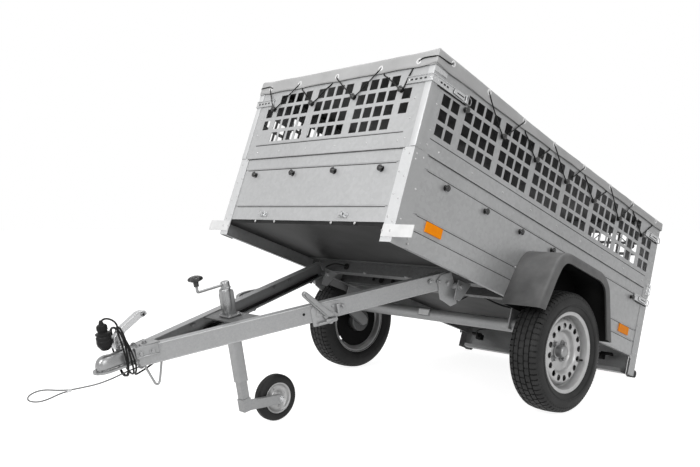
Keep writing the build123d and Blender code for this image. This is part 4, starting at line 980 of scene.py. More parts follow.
crankPoints = [(0, 0.89, 0.2), (0, 0.915, 0.2), (0, 0.96, 0.1995), (0, 0.994, 0.1992), (0, 1.0035, 0.1995),
               (0, 1.0048, 0.204), (0, 1.005, 0.2135), (0, 1.005, 0.23)]
addRope("jockeyCrank", [onBar(*point) for point in crankPoints], 0.0105, "castZinc", "drawbar",
        stands=["jockey_crank"])
bm = bmesh.new()
knob = [(0, 0.0455), (0.01, 0.045), (0.019, 0.0425), (0.0255, 0.0375), (0.0275, 0.0315), (0.0255, 0.0265),
        (0.0185, 0.0225), (0.012, 0.02), (0.0105, 0.0155), (0.01, 0.002), (0.006, 0), (0, 0)]
addTurned(bm, knob, steps=72)
for v in bm.verts:          # six lobes
    reach = v.co.xy.length
    if reach > 0.012 and v.co.z > 0.0205:
        swell = 1 + 0.115 * math.cos(6 * math.atan2(v.co.y, v.co.x)) * min(1, (reach - 0.012) / 0.01)
        v.co.x *= swell
        v.co.y *= swell
carry(bm, barTop(0, 1.005, 0.2215))
addPiece(bm, "starKnob", "buttonBlack", "drawbar", smooth=60)

spin = joint["jockey_spin"]["pos_m"]
jockeyPlace = facingOut(spin, (1, 0, 0))
bm = bmesh.new()
half = [(0.06, 0.0185), (0.0655, 0.0215), (0.069, 0.024), (0.079, 0.025), (0.086, 0.024), (0.0915, 0.0225),
        (0.0955, 0.019), (0.0985, 0.014), (0.0992, 0.0128), (0.0984, 0.0118), (0.0998, 0.01), (0.1, 0.0)]
addTurned(bm, [(r, -x) for r, x in half] + half[-2::-1], jockeyPlace, 72)
addPiece(bm, "jockeyTyre", "tyreRubber", "jockey_wheel", stands=["jockey_tyre"])
bm = bmesh.new()
half = [(0.06, 0.004), (0.06, 0.0175), (0.0625, 0.0205), (0.0655, 0.0218), (0.0662, 0.023), (0.065, 0.0242),
        (0.0615, 0.0238), (0.0585, 0.021), (0.056, 0.015), (0.052, 0.0105), (0.045, 0.009), (0.033, 0.01),
        (0.027, 0.013), (0.0245, 0.0185), (0.0225, 0.0215), (0.018, 0.0225), (0.0135, 0.0228),
        (0.013, 0.025), (0.0085, 0.0252)]
addTurned(bm, half, jockeyPlace, 56)
addTurned(bm, [(r, -x) for r, x in half], jockeyPlace, 56)
addTurned(bm, [(0.0085, -0.0252), (0.0085, 0.0252)], jockeyPlace, 24)
for i in range(4):          # rivets that join the two pressed halves
    for face, out in ((0.009, 1), (-0.009, -1)):
        addTurned(bm, [(0, 0.0045), (0.003, 0.004), (0.0048, 0.002), (0.005, 0)],
                  facingOut(jockeyPlace @ Vector(roundAt(0.04, 90 * i + 20, face)), (out, 0, 0)), 12)
addPiece(bm, "jockeyRim", "rimSilver", "jockey_wheel", smooth=40, stands=["jockey_rim"])
bm = bmesh.new()
addBolt(bm, facingOut((spin[0] + 0.05, spin[1], spin[2]), (1, 0, 0)), 0.0105, 0.01, 1.35)
addBolt(bm, facingOut((spin[0] - 0.0255, spin[1], spin[2]), (-1, 0, 0)), 0.01, 0.0085, 1.3)
addPiece(bm, "jockeyAxleNuts", "brightZinc", "jockey_fork")
print("jockey wheel ready")

# tilt locks on the drawbar's legs
tiltLever = {"width": 0.019,
             "raised": [(-0.016, 0.01), (0.016, 0.016), (0.06, 0.07), (0.1, 0.118), (0.1, 0.133),
                        (0.086, 0.138), (0.044, 0.092), (0.002, 0.044), (-0.018, 0.03)],
             "folded": [(0.083, 0.048), (0.072, 0.074), (0.055, 0.078), (0.015, 0.077), (-0.105, 0.06),
                        (-0.103, 0.042), (-0.025, 0.05), (0.035, 0.054), (0.055, 0.04)]}
for side, end in bothSides:
    bm = bmesh.new()
    face = onLeg(side, 0.585, 0.0)
    flip = -side        # local X runs rearward on one side and forward on the other
    plate = [(flip * x, y) for x, y in ((0.066, -0.02), (-0.018, -0.02), (-0.04, 0.004), (-0.062, 0.012),
                                        (-0.07, 0.03), (-0.06, 0.064), (0.05, 0.074), (0.07, 0.05))]
    addSlab(bm, plate, 0.004, face, corner=0.005, soft=0.001)
    upper = [(flip * x, y) for x, y in ((0.052, 0.02), (0.0, 0.012), (-0.034, 0.02), (-0.046, 0.044),
                                        (-0.022, 0.066), (0.04, 0.07))]
    addSlab(bm, upper, 0.0035, lifted(face, 0.004), corner=0.006, soft=0.001)
    addBlock(bm, (0.05, 0.014, 0.016), (flip * -0.012, -0.004, 0.012), face, 0.003)
    addBlock(bm, (0.014, 0.04, 0.018), (flip * -0.046, 0.036, 0.013), face, 0.003)
    for x, y, radius, tall in ((-0.008, -0.012, 0.0085, 0.02), (-0.072, 0.039, 0.007, 0.008),
                               (0.03, 0.034, 0.0065, 0.012), (0.044, 0.058, 0.005, 0.01),
                               (-0.026, 0.05, 0.006, 0.014), (0.01, 0.014, 0.012, 0.016)):
        seat = face @ Matrix.Translation((flip * x, y, 0.004 if tall < 0.01 else 0.0))
        addBolt(bm, seat, radius, tall, 1.3)
    addRod(bm, (flip * 0.05, -0.01, 0.012), (flip * -0.034, -0.01, 0.012), 0.0052, face, 14)
    addPiece(bm, "tiltLock" + end, "dipZinc", "drawbar", smooth=40,
             stands=["tilt_locks"] if side > 0 else ())
    shape = tiltLever["raised" if side > 0 else "folded"]
    bm = bmesh.new()
    addSlab(bm, [(flip * x, y) for x, y in shape], tiltLever["width"], corner=0.006, soft=0.003)
    channel = max((f for f in bm.faces if f.calc_center_median().z > tiltLever["width"] - 1e-5),
                  key=lambda f: f.calc_area())
    bmesh.ops.inset_region(bm, faces=[channel], thickness=0.0026)
    bmesh.ops.inset_region(bm, faces=[channel], thickness=0.0008, depth=-0.012)
    carry(bm, lifted(face, 0.01))
    addPiece(bm, "tiltLever" + end, "castZinc", "drawbar", smooth=40)
print("tilt locks ready")

# load cover: one cut of coated cloth, folded over the extensions' top edge
cover = {"halfWidth": 0.5908, "front": -1.0928, "rear": 0.9538, "top": 0.9443, "skirt": 0.0465,
         "round": 0.007, "cloth": 0.0012, "sag": 0.007,
         "cellsAcross": 96, "cellsAlong": 150, "edgeCells": 12}
sideRings = [-0.998, -0.745, -0.47, -0.21, 0.07, 0.34, 0.59, 0.87]
frontRings = [-0.51, -0.28, -0.01, 0.27, 0.49]
sideHooks = [-0.59, -0.325, -0.055, 0.21, 0.48, 0.745]
frontHooks = [-0.43, -0.143, 0.143, 0.43]
ringUp, hookUp, hemUp = 0.929, 0.805, 0.8978
frontRingUp = 0.9145


def clothLine(index, cells, halfTop):
    # distance from the middle along the cloth, with small cells over the edge and in the skirt
    edge = cover["edgeCells"]
    arc = cover["round"] * math.pi / 2
    stops = [(0, 0), (cells / 2 - edge, halfTop - cover["round"] - 0.02),
             (cells / 2 - edge + 2, halfTop - cover["round"]),
             (cells / 2 - edge + 6, halfTop - cover["round"] + arc),
             (cells / 2, halfTop - cover["round"] + arc + cover["skirt"] - cover["round"])]
    steps = abs(index)
    for (lowStep, low), (highStep, high) in zip(stops, stops[1:]):
        if steps <= highStep + 1e-6:
            return math.copysign(low + (high - low) * (steps - lowStep) / (highStep - lowStep), index)
    return math.copysign(stops[-1][1], index)


def foldOver(distance, halfTop):
    # place across the top and drop below it, for a distance along the cloth
    flat = halfTop - cover["round"]
    past = abs(distance) - flat
    if past <= 0:
        return distance, 0.0
    arc = cover["round"] * math.pi / 2
    if past < arc:
        turn = past / cover["round"]
        over, down = flat + cover["round"] * math.sin(turn), cover["round"] * (1 - math.cos(turn))
        return math.copysign(over, distance), down
    return math.copysign(halfTop, distance), cover["round"] + past - arc


def coverLift(along):
    # the cloth stands a little higher towards the front, where it is less tight
    share = min(1.0, max(0.0, (-0.2 - along) / 0.8))
    return 0.024 * share * share * (3 - 2 * share)


def liftAt(along, up):
    # all of the lift at the top edge, none at the hem
    return coverLift(along) * min(1.0, max(0.0, 1 - (cover["top"] - up) / cover["skirt"]))


def nearest(value, places):
    return min(abs(value - p) for p in places)


bm = bmesh.new()
across, along = cover["cellsAcross"], cover["cellsAlong"]
bmesh.ops.create_grid(bm, x_segments=across, y_segments=along, size=1)
midV = (cover["front"] + cover["rear"]) / 2
halfLength = (cover["rear"] - cover["front"]) / 2
for v in bm.verts:
    s = clothLine(round(v.co.x * across / 2), across, cover["halfWidth"])
    t = clothLine(round(v.co.y * along / 2), along, halfLength)
    x, dropX = foldOver(s, cover["halfWidth"])
    y, dropY = foldOver(t, halfLength)
    drop = max(dropX, dropY)
    middle = max(0.0, 1 - (x / 0.55) ** 2) * max(0.0, 1 - (y / 0.98) ** 2)
    crumple = noise.noise(Vector((x * 5.0, y * 3.1, 0.4))) * 0.0022
    crumple += noise.noise(Vector((x * 17, y * 13, 2.4))) * 0.001
    # creases that run in from each corner
    inX, inY = cover["halfWidth"] - abs(x), halfLength - abs(y)
    fan = math.cos(3.4 * math.atan2(inY, inX + 1e-5) * 2.2)
    crumple += 0.003 * fan * math.exp(-math.hypot(inX, inY) / 0.09)
    up = cover["top"] - drop - 0.0016 - cover["sag"] * middle + (crumple if drop < 0.002 else 0)
    slack = 0.0
    if drop > 0.004:
        # the skirt is drawn in at each ring and stands off between them; its hem rises between the rings
        onEnd = dropY > dropX
        gap = nearest(x, frontRings) if onEnd else nearest(y + midV, sideRings)
        loose = min(1, gap / 0.05)
        folds = noise.noise(Vector((x * 11 + y * 11, drop * 26, 1.7)))
        folds += 0.6 * noise.noise(Vector((x * 31 + y * 29, drop * 60, 5.1)))
        slack = -0.001 - loose * max(0.0, 0.0012 + 0.0022 * folds)
        up += (0.003 * min(1, gap / 0.09)
               + noise.noise(Vector((x * 6 + 3, y * 6, 0))) * 0.0016) * (drop / cover["skirt"])
        if onEnd:
            y += math.copysign(slack, y)
        else:
            x += math.copysign(slack, x)
    corner = math.exp(-((abs(x) - cover["halfWidth"]) ** 2 + (abs(y) - halfLength) ** 2) / 0.0022)
    up += liftAt(y + midV, cover["top"] - drop) + 0.0045 * corner * (1 if y < 0 else 0.4)
    v.co = onBed(x, y + midV, up)
bmesh.ops.dissolve_degenerate(bm, dist=0.00002, edges=bm.edges)
loadCover = addPiece(bm, "loadCover", "coverCloth", "chassis", smooth=70, stands=["load_cover"])
thicken(loadCover, cover["cloth"])

bm = bmesh.new()            # doubled hem along the skirt, and the folded flaps at each corner
hemSteps = 24
hemMiddle = cover["top"] - cover["skirt"] + 0.0075
for side in (1, -1):
    for step in range(hemSteps):
        low = cover["front"] + 0.002 + (2 * halfLength - 0.004) * step / hemSteps
        high = low + (2 * halfLength - 0.004) / hemSteps
        start, stop = (onBed(side * (cover["halfWidth"] - 0.0012), v, hemMiddle) for v in (low, high))
        ridge = facingOut((start + stop) / 2, (side, 0, 0), bedUp)
        run = ridge.to_3x3().transposed() @ (stop - start)
        addBlock(bm, ((stop - start).length + 0.001, 0.013, 0.0015), (0, 0, 0),
                 ridge @ Matrix.Rotation(math.atan2(run.y, run.x), 4, "Z"), 0.0005, 1)
for end, out in ((cover["front"], -1), (cover["rear"], 1)):
    lift = coverLift(end)
    flapTop = cover["top"] - 0.003 + lift
    addBlock(bm, (2 * cover["halfWidth"] - 0.004, 0.0016, 0.013), (0, end - out * 0.0012, hemMiddle),
             bedFrame, 0.0006)
    for side in (1, -1):
        for face, flap in ((bedFace(side, side * (cover["halfWidth"] - 0.0004), end, flapTop),
                            [(0, 0), (0.052, -0.004), (0.04, -0.041 - lift), (0.0, -0.043 - lift)]),
                           (bedFace("rear" if out > 0 else "front", side * (cover["halfWidth"] + 0.0004),
                                    end - out * 0.0002, flapTop),
                            [(0, 0), (0.034, -0.044 - lift), (0.0, -0.043 - lift)])):
            inward = face.to_3x3().transposed() @ (bedBack * -out + Vector((-side, 0, 0)))
            turn = 1 if inward.x > 0 else -1
            addSlab(bm, [(turn * a, b) for a, b in flap], 0.0013, face, corner=0.002)
coverHem = addPiece(bm, "coverHem", "coverCloth", "chassis", smooth=40)

# rings pressed into the skirt, and the round buttons that the elastic cord goes behind
eyelet = [(0.0068, -0.0002), (0.0072, 0.002), (0.009, 0.003), (0.0118, 0.003), (0.014, 0.0016), (0.0144, 0)]
button = [(0, 0.0205), (0.004, 0.0205), (0.0062, 0.019), (0.0075, 0.0196), (0.0105, 0.019), (0.0138, 0.016),
          (0.0142, 0.014), (0.0128, 0.0122), (0.0085, 0.01), (0.0062, 0.008), (0.006, 0.0035),
          (0.009, 0.0018), (0.0128, 0.0008), (0.013, 0)]
rings, holes, buttons, gateButtons = bmesh.new(), bmesh.new(), bmesh.new(), bmesh.new()


def onSkirt(side, place, up, out=0.0):
    # the skirt's outer face: side 1 or -1, or "front" and "rear"
    if up > 0.88:
        up += liftAt({"front": cover["front"], "rear": cover["rear"]}.get(side, place), up)
    if side in (1, -1):
        return bedFace(side, side * (cover["halfWidth"] - 0.0012 + out), place, up)
    if side == "front":
        return bedFace("front", place, cover["front"] + 0.0012 - out, up)
    return bedFace("rear", place, cover["rear"] - 0.0012 + out, up)


edges = {1: (sideRings, sideHooks + [-0.86]), -1: (sideRings, sideHooks + [-0.86]),
         "front": (frontRings, frontHooks), "rear": (frontRings, frontHooks)}
for side, (ringPlaces, hookPlaces) in edges.items():
    for place in ringPlaces:
        high = frontRingUp if side == "front" else ringUp
        addTurned(rings, eyelet, onSkirt(side, place, high, 0.0004), 20)
        # painted shade: a black disc for the hole in each ring
        addTurned(holes, disc(0.007, 0.0007), onSkirt(side, place, high), 16)
    for place in hookPlaces:
        addTurned(buttons, button, onSkirt(side, place, hookUp, -0.0038), 20)
    lower = [-0.86, -0.585, -0.315, -0.045, 0.77] if side in (1, -1) else frontHooks
    for place in lower:
        addTurned(gateButtons if side == "rear" else buttons, button,
                  onSkirt(side, place, 0.46, -0.0048 if side == "rear" else -0.0066), 20)
addPiece(rings, "coverRings", "plateWhite", "chassis", smooth=60)
addPiece(holes, "ringHoles", "blackPlasticAndHoleShade", "chassis")
addPiece(buttons, "ropeButtons", "buttonBlack", "chassis", smooth=50)
addPiece(gateButtons, "gateButtons", "buttonBlack", "tailgate", smooth=50)


elastic = {"size": 0.0055, "stem": 0.009, "beside": 0.028}


def elasticLine(side, name, hooks, ringPlaces):
    # by turns: out of a ring, behind a button and into the next ring, or in and out below the hem
    def at(place, up, out):
        return onSkirt(side, place, up, out).to_translation()

    stem, points, high = elastic["stem"], [], frontRingUp if side == "front" else ringUp
    for turn, hook in enumerate(hooks):
        before = max(r for r in ringPlaces if r < hook)
        after = min((r for r in ringPlaces if r > hook), default=hook + 0.1)
        outside = turn % 2 == 0
        for place, leaving in ((before, True), (after, False)):
            toHook = 1 if leaving else -1
            behind = [(hook - toHook * stem, hookUp + 0.006, 0.0012),
                      (hook - toHook * stem * 0.85, hookUp - 0.006, 0.0012)]
            if outside:
                top = [(place - toHook * 0.004, high, -0.0022), (place, high - 0.001, 0.001),
                       (place + toHook * 0.002, high - 0.006, 0.0046)]
                span = hook - toHook * stem - place
                line = [(place + span * share, high + (hookUp - high) * share, 0.0046 - 0.0034 * share)
                        for share in (0.25, 0.82)]
            else:
                start = place + toHook * elastic["beside"]
                top = [(place + toHook * 0.01, high - 0.008, -0.003),
                       (start - toHook * 0.003, hemUp + 0.004, -0.0032), (start, hemUp - 0.01, -0.0012)]
                span = hook - toHook * stem - start
                line = [(start + span * share, hemUp + (hookUp - hemUp) * share, 0.0002)
                        for share in (0.28, 0.82)]
            run = [at(*point) for point in top + line + behind]
            if leaving:
                points += run + [at(hook, hookUp - 0.0112, 0.0012)]
            else:
                points += run[::-1]
    addRope(name, points, elastic["size"], "cableRubber", "chassis")


for side, name, hooks, ringPlaces in ((1, "Left", sideHooks, sideRings),
                                      (-1, "Right", sideHooks, sideRings),
                                      ("front", "Front", frontHooks, frontRings),
                                      ("rear", "Rear", frontHooks, frontRings)):
    elasticLine(side, "elastic" + name, hooks, ringPlaces)
cornerRun = [(0.515, -1.0965, 0.9282), (0.545, -1.097, 0.927), (0.58, -1.097, 0.9262),
             (0.594, -1.094, 0.926), (0.596, -1.08, 0.9262), (0.596, -1.045, 0.927),
             (0.5955, -1.015, 0.9283)]
for side, name in bothSides:      # round the front corner to the first ring of the side
    corner = [onBed(side * x, v, up + 0.006) for x, v, up in cornerRun]
    first = [onSkirt("front", side * x, frontRingUp, out) for x, out in ((0.49, -0.0022), (0.492, 0.003))]
    last = [onSkirt(side, along, ringUp, out) for along, out in ((-1.001, 0.0036), (-0.997, -0.0022))]
    addRope("elasticCorner" + name, [at.to_translation() for at in first]
            + corner + [at.to_translation() for at in last], elastic["size"], "cableRubber", "chassis")
print("cover, rings and elastic cord ready")

# rivets, bolts and washers of the box
rivet = [(0, 0.0026), (0.0022, 0.0024), (0.004, 0.0014), (0.0048, 0.0002), (0.0048, 0)]
bm = bmesh.new()
for side in (1, -1):
    for up in (0.54, 0.445, 0.352, 0.258):
        addTurned(bm, rivet, onFront(side * 0.535, up), 10)
        addTurned(bm, rivet, onFront(side * 0.566, up - 0.02), 10)
    for x, up in ((0.528, 0.2), (0.57, 0.2)):
        addBolt(bm, onFront(side * x, up), 0.0055, 0.005)
    for up in (0.76, 0.673, 0.585):
        addTurned(bm, rivet, onFront(side * 0.517, up), 10)
        addTurned(bm, rivet, onRear(side * 0.517, up), 10)
    for place, up in ((-1.068, 0.568), (-1.026, 0.58), (-1.068, 0.525), (-1.026, 0.523), (-1.068, 0.502),
                      (-1.026, 0.392), (-1.066, 0.255), (-1.0, 0.197), (-0.995, 0.178), (-1.03, 0.752),
                      (-1.03, 0.64)):
        addTurned(bm, rivet, onSide(side, place, up), 10)
    for place in (0.925, 0.9):
        for up in (0.222, 0.18, 0.33, 0.5, 0.6, 0.7, 0.88):
            addTurned(bm, rivet, onSide(side, place, up), 10)
    for place in range(9):
        addTurned(bm, rivet, onSide(side, -0.95 + 0.225 * place, 0.578), 10)
    addBolt(bm, onSide(side, 0.875, 0.155), 0.0065, 0.006)
for x in (-0.325, -0.18, 0.21, 0.355):
    addBolt(bm, onFront(x, 0.2285, -0.003), 0.0045, 0.0035, 1.4)
for x in (-0.47, -0.3, -0.1, 0.1, 0.3, 0.48):
    addTurned(bm, rivet, onFront(x, 0.578), 10)
    addTurned(bm, rivet, onRear(x, 0.578), 10)
addPiece(bm, "boxRivets", "rimSilver", "chassis", smooth=50)

# folded lips: raised beads on panels and extensions in the darker side zinc, each with a dark strip of
# painted shadow below
beads = {"tall": 0.0046, "proud": 0.0026, "crease": 0.003}
raised, creases, gateBeads, gateShadowStrips = bmesh.new(), bmesh.new(), bmesh.new(), bmesh.new()
for side in (1, -1):
    for up, x, low, high in ((0.613, 0.5862, -1.02, 0.875), (0.5475, 0.5862, -1.00, 0.88),
                             (0.488, 0.5832, -0.985, 0.86), (0.302, 0.5832, -0.985, 0.86),
                             (0.24, 0.5832, -0.985, 0.86)):
        size, middle = high - low, (high + low) / 2
        addBlock(raised, (beads["proud"], size, beads["tall"]), (side * x, middle, up), bedFrame, 0.0011)
        addBlock(creases, (0.0012, size - 0.004, beads["crease"]), (side * x, middle, up - 0.0038),
                 bedFrame, 0.0004, 1)
for up, v, half in ((0.618, -1.0885, 0.5), (0.5475, -1.0885, 0.535), (0.488, -1.0855, 0.505),
                    (0.302, -1.0855, 0.505)):
    addBlock(raised, (2 * half, beads["proud"], beads["tall"]), (0, v, up), bedFrame, 0.0011)
    addBlock(creases, (2 * half - 0.004, 0.0012, beads["crease"]), (0, v, up - 0.0038), bedFrame, 0.0004, 1)
for up, v in ((0.618, 0.9492), (0.488, 0.9482), (0.3, 0.9482)):
    addBlock(raised if up > 0.6 else gateBeads, (0.96, beads["proud"], beads["tall"]), (0, v, up),
             bedFrame, 0.0011)
    addBlock(creases if up > 0.6 else gateShadowStrips, (0.956, 0.0012, beads["crease"]), (0, v, up - 0.0038),
             bedFrame, 0.0004, 1)
addPiece(raised, "foldBeads", "sideShadedZinc", "chassis")
addPiece(creases, "foldShadowStrips", "foldShade", "chassis")
addPiece(gateBeads, "gateBeads", "sideShadedZinc", "tailgate")
addPiece(gateShadowStrips, "gateShadowStrips", "foldShade", "tailgate")
bm = bmesh.new()            # corner angles of the extensions, in the lit pale zinc: painted highlight on the front, painted shade on the sides
for side in (1, -1):
    addBlock(bm, (0.034, 0.003, 0.388), (side * 0.5705, -1.0885, 0.744), bedFrame, 0.0012)
    addBlock(bm, (0.003, 0.05, 0.388), (side * 0.5865, -1.064, 0.744), bedFrame, 0.0012)
addPiece(bm, "extensionAngles", "litPaleZinc", "chassis")
bm = bmesh.new()
for side in (1, -1):        # bright angle plates at the front corners, and the rear catches
    addBlock(bm, (0.0022, 0.078, 0.028), (side * 0.5882, -1.052, 0.887), bedFrame, 0.001)
    addBlock(bm, (0.0035, 0.03, 0.066), (side * 0.5875, 0.928, 0.546), bedFrame, 0.0014)
    addRod(bm, (side * 0.5905, 0.9445, 0.514), (side * 0.5905, 0.9445, 0.578), 0.005, bedFrame, 14)
    for up in (0.524, 0.568):
        addTurned(bm, rivet, onSide(side, 0.93, up, 0.0065), 10)
addPiece(bm, "cornerPlates", "brightZinc", "chassis")
print("rivets and folds ready")


# over-centre latches: slotted straps with rolled edges, a lever and a wire bail
latch = {"drop": 0.01, "strap": 0.034, "thick": 0.0035, "wire": 0.0042}


def addStrap(straps, place, length):
    # flat strap with rolled edges
    addBlock(straps, (length, latch["strap"], latch["thick"]), (0, 0, latch["thick"] / 2), place, 0.0012)
    for y in (-0.015, 0.015):
        addBlock(straps, (length, 0.0045, 0.006), (0, y, 0.0035), place, 0.002)


def addLatch(straps, slotsAndShadow, place, length, flip, name):
    # local X along the strap, Y up, Z outwards; the bail is at the flip end
    addStrap(straps, place, length)
    lever = flip * (length / 2 - 0.06)
    addSlab(straps, [(lever - 0.04, -0.01), (lever + 0.04, -0.0125), (lever + 0.04, 0.0125),
                     (lever - 0.04, 0.01)], 0.005,
            lifted(place, 0.006), corner=0.004, soft=0.0018)
    addBlock(straps, (0.018, 0.03, 0.01), (flip * (length / 2 - 0.026), 0, 0.006), place, 0.003)
    addRod(straps, (flip * (length / 2 - 0.022), -0.017, 0.0095),
           (flip * (length / 2 - 0.022), 0.017, 0.0095), 0.0042, place, 12)
    # painted shadow: a black line along the strap's lower edge
    addBlock(slotsAndShadow, (length * 0.8, 0.005, 0.004), (flip * length * 0.06, -0.0195, 0.002), place, 0.001, 1)
    for x in (0.012, 0.034):
        addTurned(straps, rivet, place @ Matrix.Translation((-flip * (length / 2 - x), 0,
                                                             latch["thick"] - 0.0003)), 10)
    # painted shade: black fills for the slots in the strap and the lever
    for i in range(max(1, int((length - 0.17) / 0.02))):
        addBlock(slotsAndShadow, (0.012, 0.0075, 0.0008), (-flip * (length / 2 - 0.054 - 0.02 * i), 0,
                                                  latch["thick"] + 0.0002), place, 0.0003, 1)
    addBlock(slotsAndShadow, (0.046, 0.005, 0.0008), (lever, 0, 0.0111), place, 0.0003, 1)
    arm = [(length / 2 - 0.022, 0.015, 0.0095), (length / 2 - 0.004, 0.0155, 0.0085),
           (length / 2 + 0.01, 0.015, 0.007), (length / 2 + 0.0165, 0.009, 0.006)]
    bail = [(x, -y, z) for x, y, z in arm] + arm[::-1]
    addRope(name, [place @ Vector((flip * x, y, z)) for x, y, z in bail], latch["wire"],
            "castZinc", "chassis")


straps, slotsAndShadow = bmesh.new(), bmesh.new()
for side, name in bothSides:
    for strap, (place, up, length, flip, out) in {"Front": (-0.975, 0.853, 0.232, 1, 0.0005),
                                                  "RearTop": (0.866, 0.845, 0.144, 1, 0.0005),
                                                  "RearLow": (0.866, 0.471, 0.144, 1, 0.0005)}.items():
        spot = onSide(side, place, up - latch["drop"] * (up > 0.5), out)
        rearwards = 1 if (spot.to_3x3().transposed() @ bedBack).x > 0 else -1
        addLatch(straps, slotsAndShadow, spot, length, flip * rearwards, "bail" + strap + name)
    spot = onFront(side * 0.522, 0.853 - latch["drop"], 0.0015)
    addStrap(straps, spot, 0.14)
    for x in (-0.045, -0.02, 0.005, 0.03):
        addBlock(slotsAndShadow, (0.012, 0.0075, 0.0008), (x, 0, latch["thick"] + 0.0002), spot, 0.0003, 1)
    for x in (0.058, -0.058):
        addTurned(straps, rivet, spot @ Matrix.Translation((x, 0, latch["thick"])), 10)
addPiece(straps, "latchStraps", "brightZinc", "chassis", smooth=40, stands=["corner_latches"])
# slot fills and the line under each strap: painted shade
addPiece(slotsAndShadow, "latchSlotsAndShadow", "blackPlasticAndHoleShade", "chassis")

# tail lamps: a moulded housing and a ribbed lens that only faces the rear
lampSize = {"housing": 0.0195, "lens": 0.0098}
lampHousing, lampLens, lampAmber, lampPlugs = bmesh.new(), bmesh.new(), bmesh.new(), bmesh.new()
for side in (1, -1):
    face = onRear(side * 0.425, 0.14, -0.0017)
    addSlab(lampHousing, oblong(0.105, 0.048), lampSize["housing"], face, corner=0.012, soft=0.002)
    outer = 1 if (face.to_3x3().transposed() @ Vector((side, 0, 0))).x > 0 else -1
    lid = lifted(face, lampSize["housing"])
    for lens, low, high in ((lampAmber, 0.04, 0.099), (lampLens, -0.099, 0.037)):
        ends = sorted((outer * low, outer * high))
        addSlab(lens, [(ends[0], -0.042), (ends[1], -0.042), (ends[1], 0.042), (ends[0], 0.042)],
                lampSize["lens"], lid, corner=0.008, soft=0.004, segments=3)
        for rib in range(5):
            addBlock(lens, (ends[1] - ends[0] - 0.014, 0.0022, 0.001),
                     ((ends[0] + ends[1]) / 2, -0.03 + 0.015 * rib, lampSize["lens"]), lid, 0.0004)
    for x in (-0.102, 0.102):
        addTurned(lampPlugs, [(0, 0.003), (0.003, 0.003), (0.0036, 0.002), (0.0036, 0)],
                  lid @ Matrix.Translation((x * 0.97, 0.0, -0.001)), 10)
    addSlab(lampPlugs, oblong(0.02, 0.017), 0.032, bedFace("front", side * 0.42, 0.8815, 0.135),
            corner=0.006, soft=0.003)
    addBlock(lampPlugs, (0.07, 0.02, 0.018), (side * 0.452, 0.872, 0.152), bedFrame, 0.004)
    addRod(lampPlugs, (side * 0.42, 0.856, 0.135), (side * 0.42, 0.838, 0.135), 0.0075, bedFrame,
           tip=0.003)
addPiece(lampHousing, "lampHousings", "blackPlasticAndHoleShade", "chassis", smooth=40)
addPiece(lampLens, "lampLenses", "redLens", "chassis", smooth=40, stands=["tail_lamps"])
addPiece(lampAmber, "lampIndicators", "amberLens", "chassis", smooth=40)
addPiece(lampPlugs, "lampConnectors", "blackPlasticAndHoleShade", "chassis", smooth=40)
print("latches and lamps ready")

# under the box: holes, a grommet and the loom between drawbar, lamps and crossmembers
holes, bright = bmesh.new(), bmesh.new()
# painted shade: black discs for the holes in the crossmember; after them a black rubber grommet
for x, up, radius in ((-0.325, 0.192, 0.009), (-0.265, 0.19, 0.017), (-0.18, 0.19, 0.013),
                      (0.06, 0.19, 0.013), (0.265, 0.19, 0.017)):
    addTurned(holes, disc(radius, 0.0008), bedFace("front", x, -0.254, up), 20)
addTurned(holes, [(0.004, 0.006), (0.011, 0.006), (0.016, 0.004), (0.016, 0.0), (0.009, 0.0)],
          bedFace("front", -0.302, -0.4835, 0.192), 20)
addPiece(holes, "crossmemberHoles", "blackPlasticAndHoleShade", "chassis")
for x in (-0.42, -0.14, 0.14, 0.42):
    for along, up in ((-0.5, 0.164), (-0.27, 0.217)):
        addBolt(bright, bedFace("below", x, along, up), 0.0055, 0.005)
label = bedFace("front", 0.022, -0.1903, 0.062)     # a plain plate on the axle tube
addSlab(bright, oblong(0.038, 0.018), 0.0012, label, corner=0.003)
plate = bmesh.new()
addSlab(plate, oblong(0.033, 0.013), 0.0008, lifted(label, 0.001), corner=0.002)
addPiece(plate, "axlePlate", "plateWhite", "chassis")
for side in (1, -1):
    for x, way in ((0.48, side), (0.406, -side)):
        addBolt(bright, bedFace(way, side * x, -0.505, 0.14), 0.0115, 0.01)
    addBlock(bright, (0.004, 0.03, 0.03), (side * 0.545, -0.16, 0.105), bedFrame, 0.001)
addPiece(bright, "underBolts", "dipZinc", "chassis")
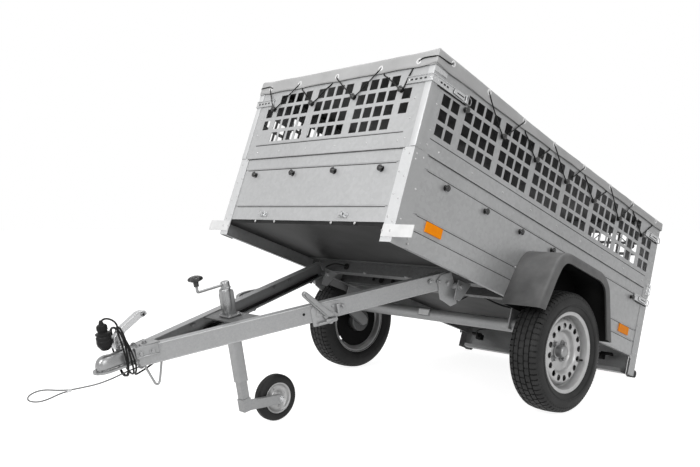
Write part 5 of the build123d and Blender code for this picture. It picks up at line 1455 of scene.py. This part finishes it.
looms = {
    "loomFront": (0.0085, [(-0.425, -0.512, 0.176), (-0.41, -0.52, 0.176), (-0.385, -0.524, 0.184),
                           (-0.35, -0.522, 0.194), (-0.318, -0.508, 0.194), (-0.302, -0.495, 0.192),
                           (-0.302, -0.48, 0.192)]),
    "loomAxle": (0.0085, [(0.1, -0.244, 0.19), (0.11, -0.225, 0.186), (0.14, -0.2, 0.16),
                          (0.19, -0.18, 0.142), (0.24, -0.185, 0.15), (0.29, -0.2, 0.172),
                          (0.34, -0.19, 0.18), (0.4, -0.16, 0.16), (0.45, -0.12, 0.15), (0.5, -0.06, 0.158),
                          (0.5, 0.06, 0.19), (0.46, 0.3, 0.205), (0.43, 0.56, 0.205), (0.418, 0.76, 0.18),
                          (0.42, 0.82, 0.14), (0.42, 0.842, 0.135)]),
    "loomRear": (0.0075, [(0.42, 0.842, 0.135), (0.418, 0.815, 0.142), (0.395, 0.8, 0.166),
                          (0.33, 0.805, 0.186), (0.1, 0.812, 0.19), (-0.2, 0.812, 0.188),
                          (-0.35, 0.805, 0.184), (-0.405, 0.806, 0.165), (-0.42, 0.822, 0.142),
                          (-0.42, 0.842, 0.135)]),
}
for name, (size, points) in looms.items():
    addRope(name, [onBed(*point) for point in points], size, "cableRubber", "chassis")
bm = bmesh.new()
for side in (1, -1):        # bolts of the legs' end plates, the legs' holes, and clips in the channels
    for ahead, up in ((0.073, 0.038), (0.034, 0.022), (0.112, 0.046)):
        addBolt(bm, onLeg(side, ahead, up, 0.005), 0.008, 0.0075)
    for ahead in (0.3, 0.42, 0.98):
        addBlock(bm, (0.02, 0.012, 0.004), (0, 0, 0), lifted(onLeg(side, ahead, 0.046, -0.0095),
                                                             -0.002), 0.0012)
addPiece(bm, "legBolts", "castZinc", "drawbar")
bm = bmesh.new()
for side in (1, -1):        # painted highlight: thin pale rods along the legs' upper and lower edges
    for up in (0.0692, 0.0008):
        start, stop = (onLeg(side, ahead, up, -0.0009).to_translation() for ahead in (0.04, 1.304))
        addRod(bm, start, stop, 0.0019, segments=10)
addPiece(bm, "legEdgeHighlights", "litPaleZinc", "drawbar", smooth=60)
bm = bmesh.new()
# painted shade: black discs for the holes in the legs
for side in (1, -1):
    addTurned(bm, disc(0.0058, 0.0006), onLeg(side, 0.68, 0.041), 18)
addPiece(bm, "legHoles", "blackPlasticAndHoleShade", "drawbar")
print("underside ready")
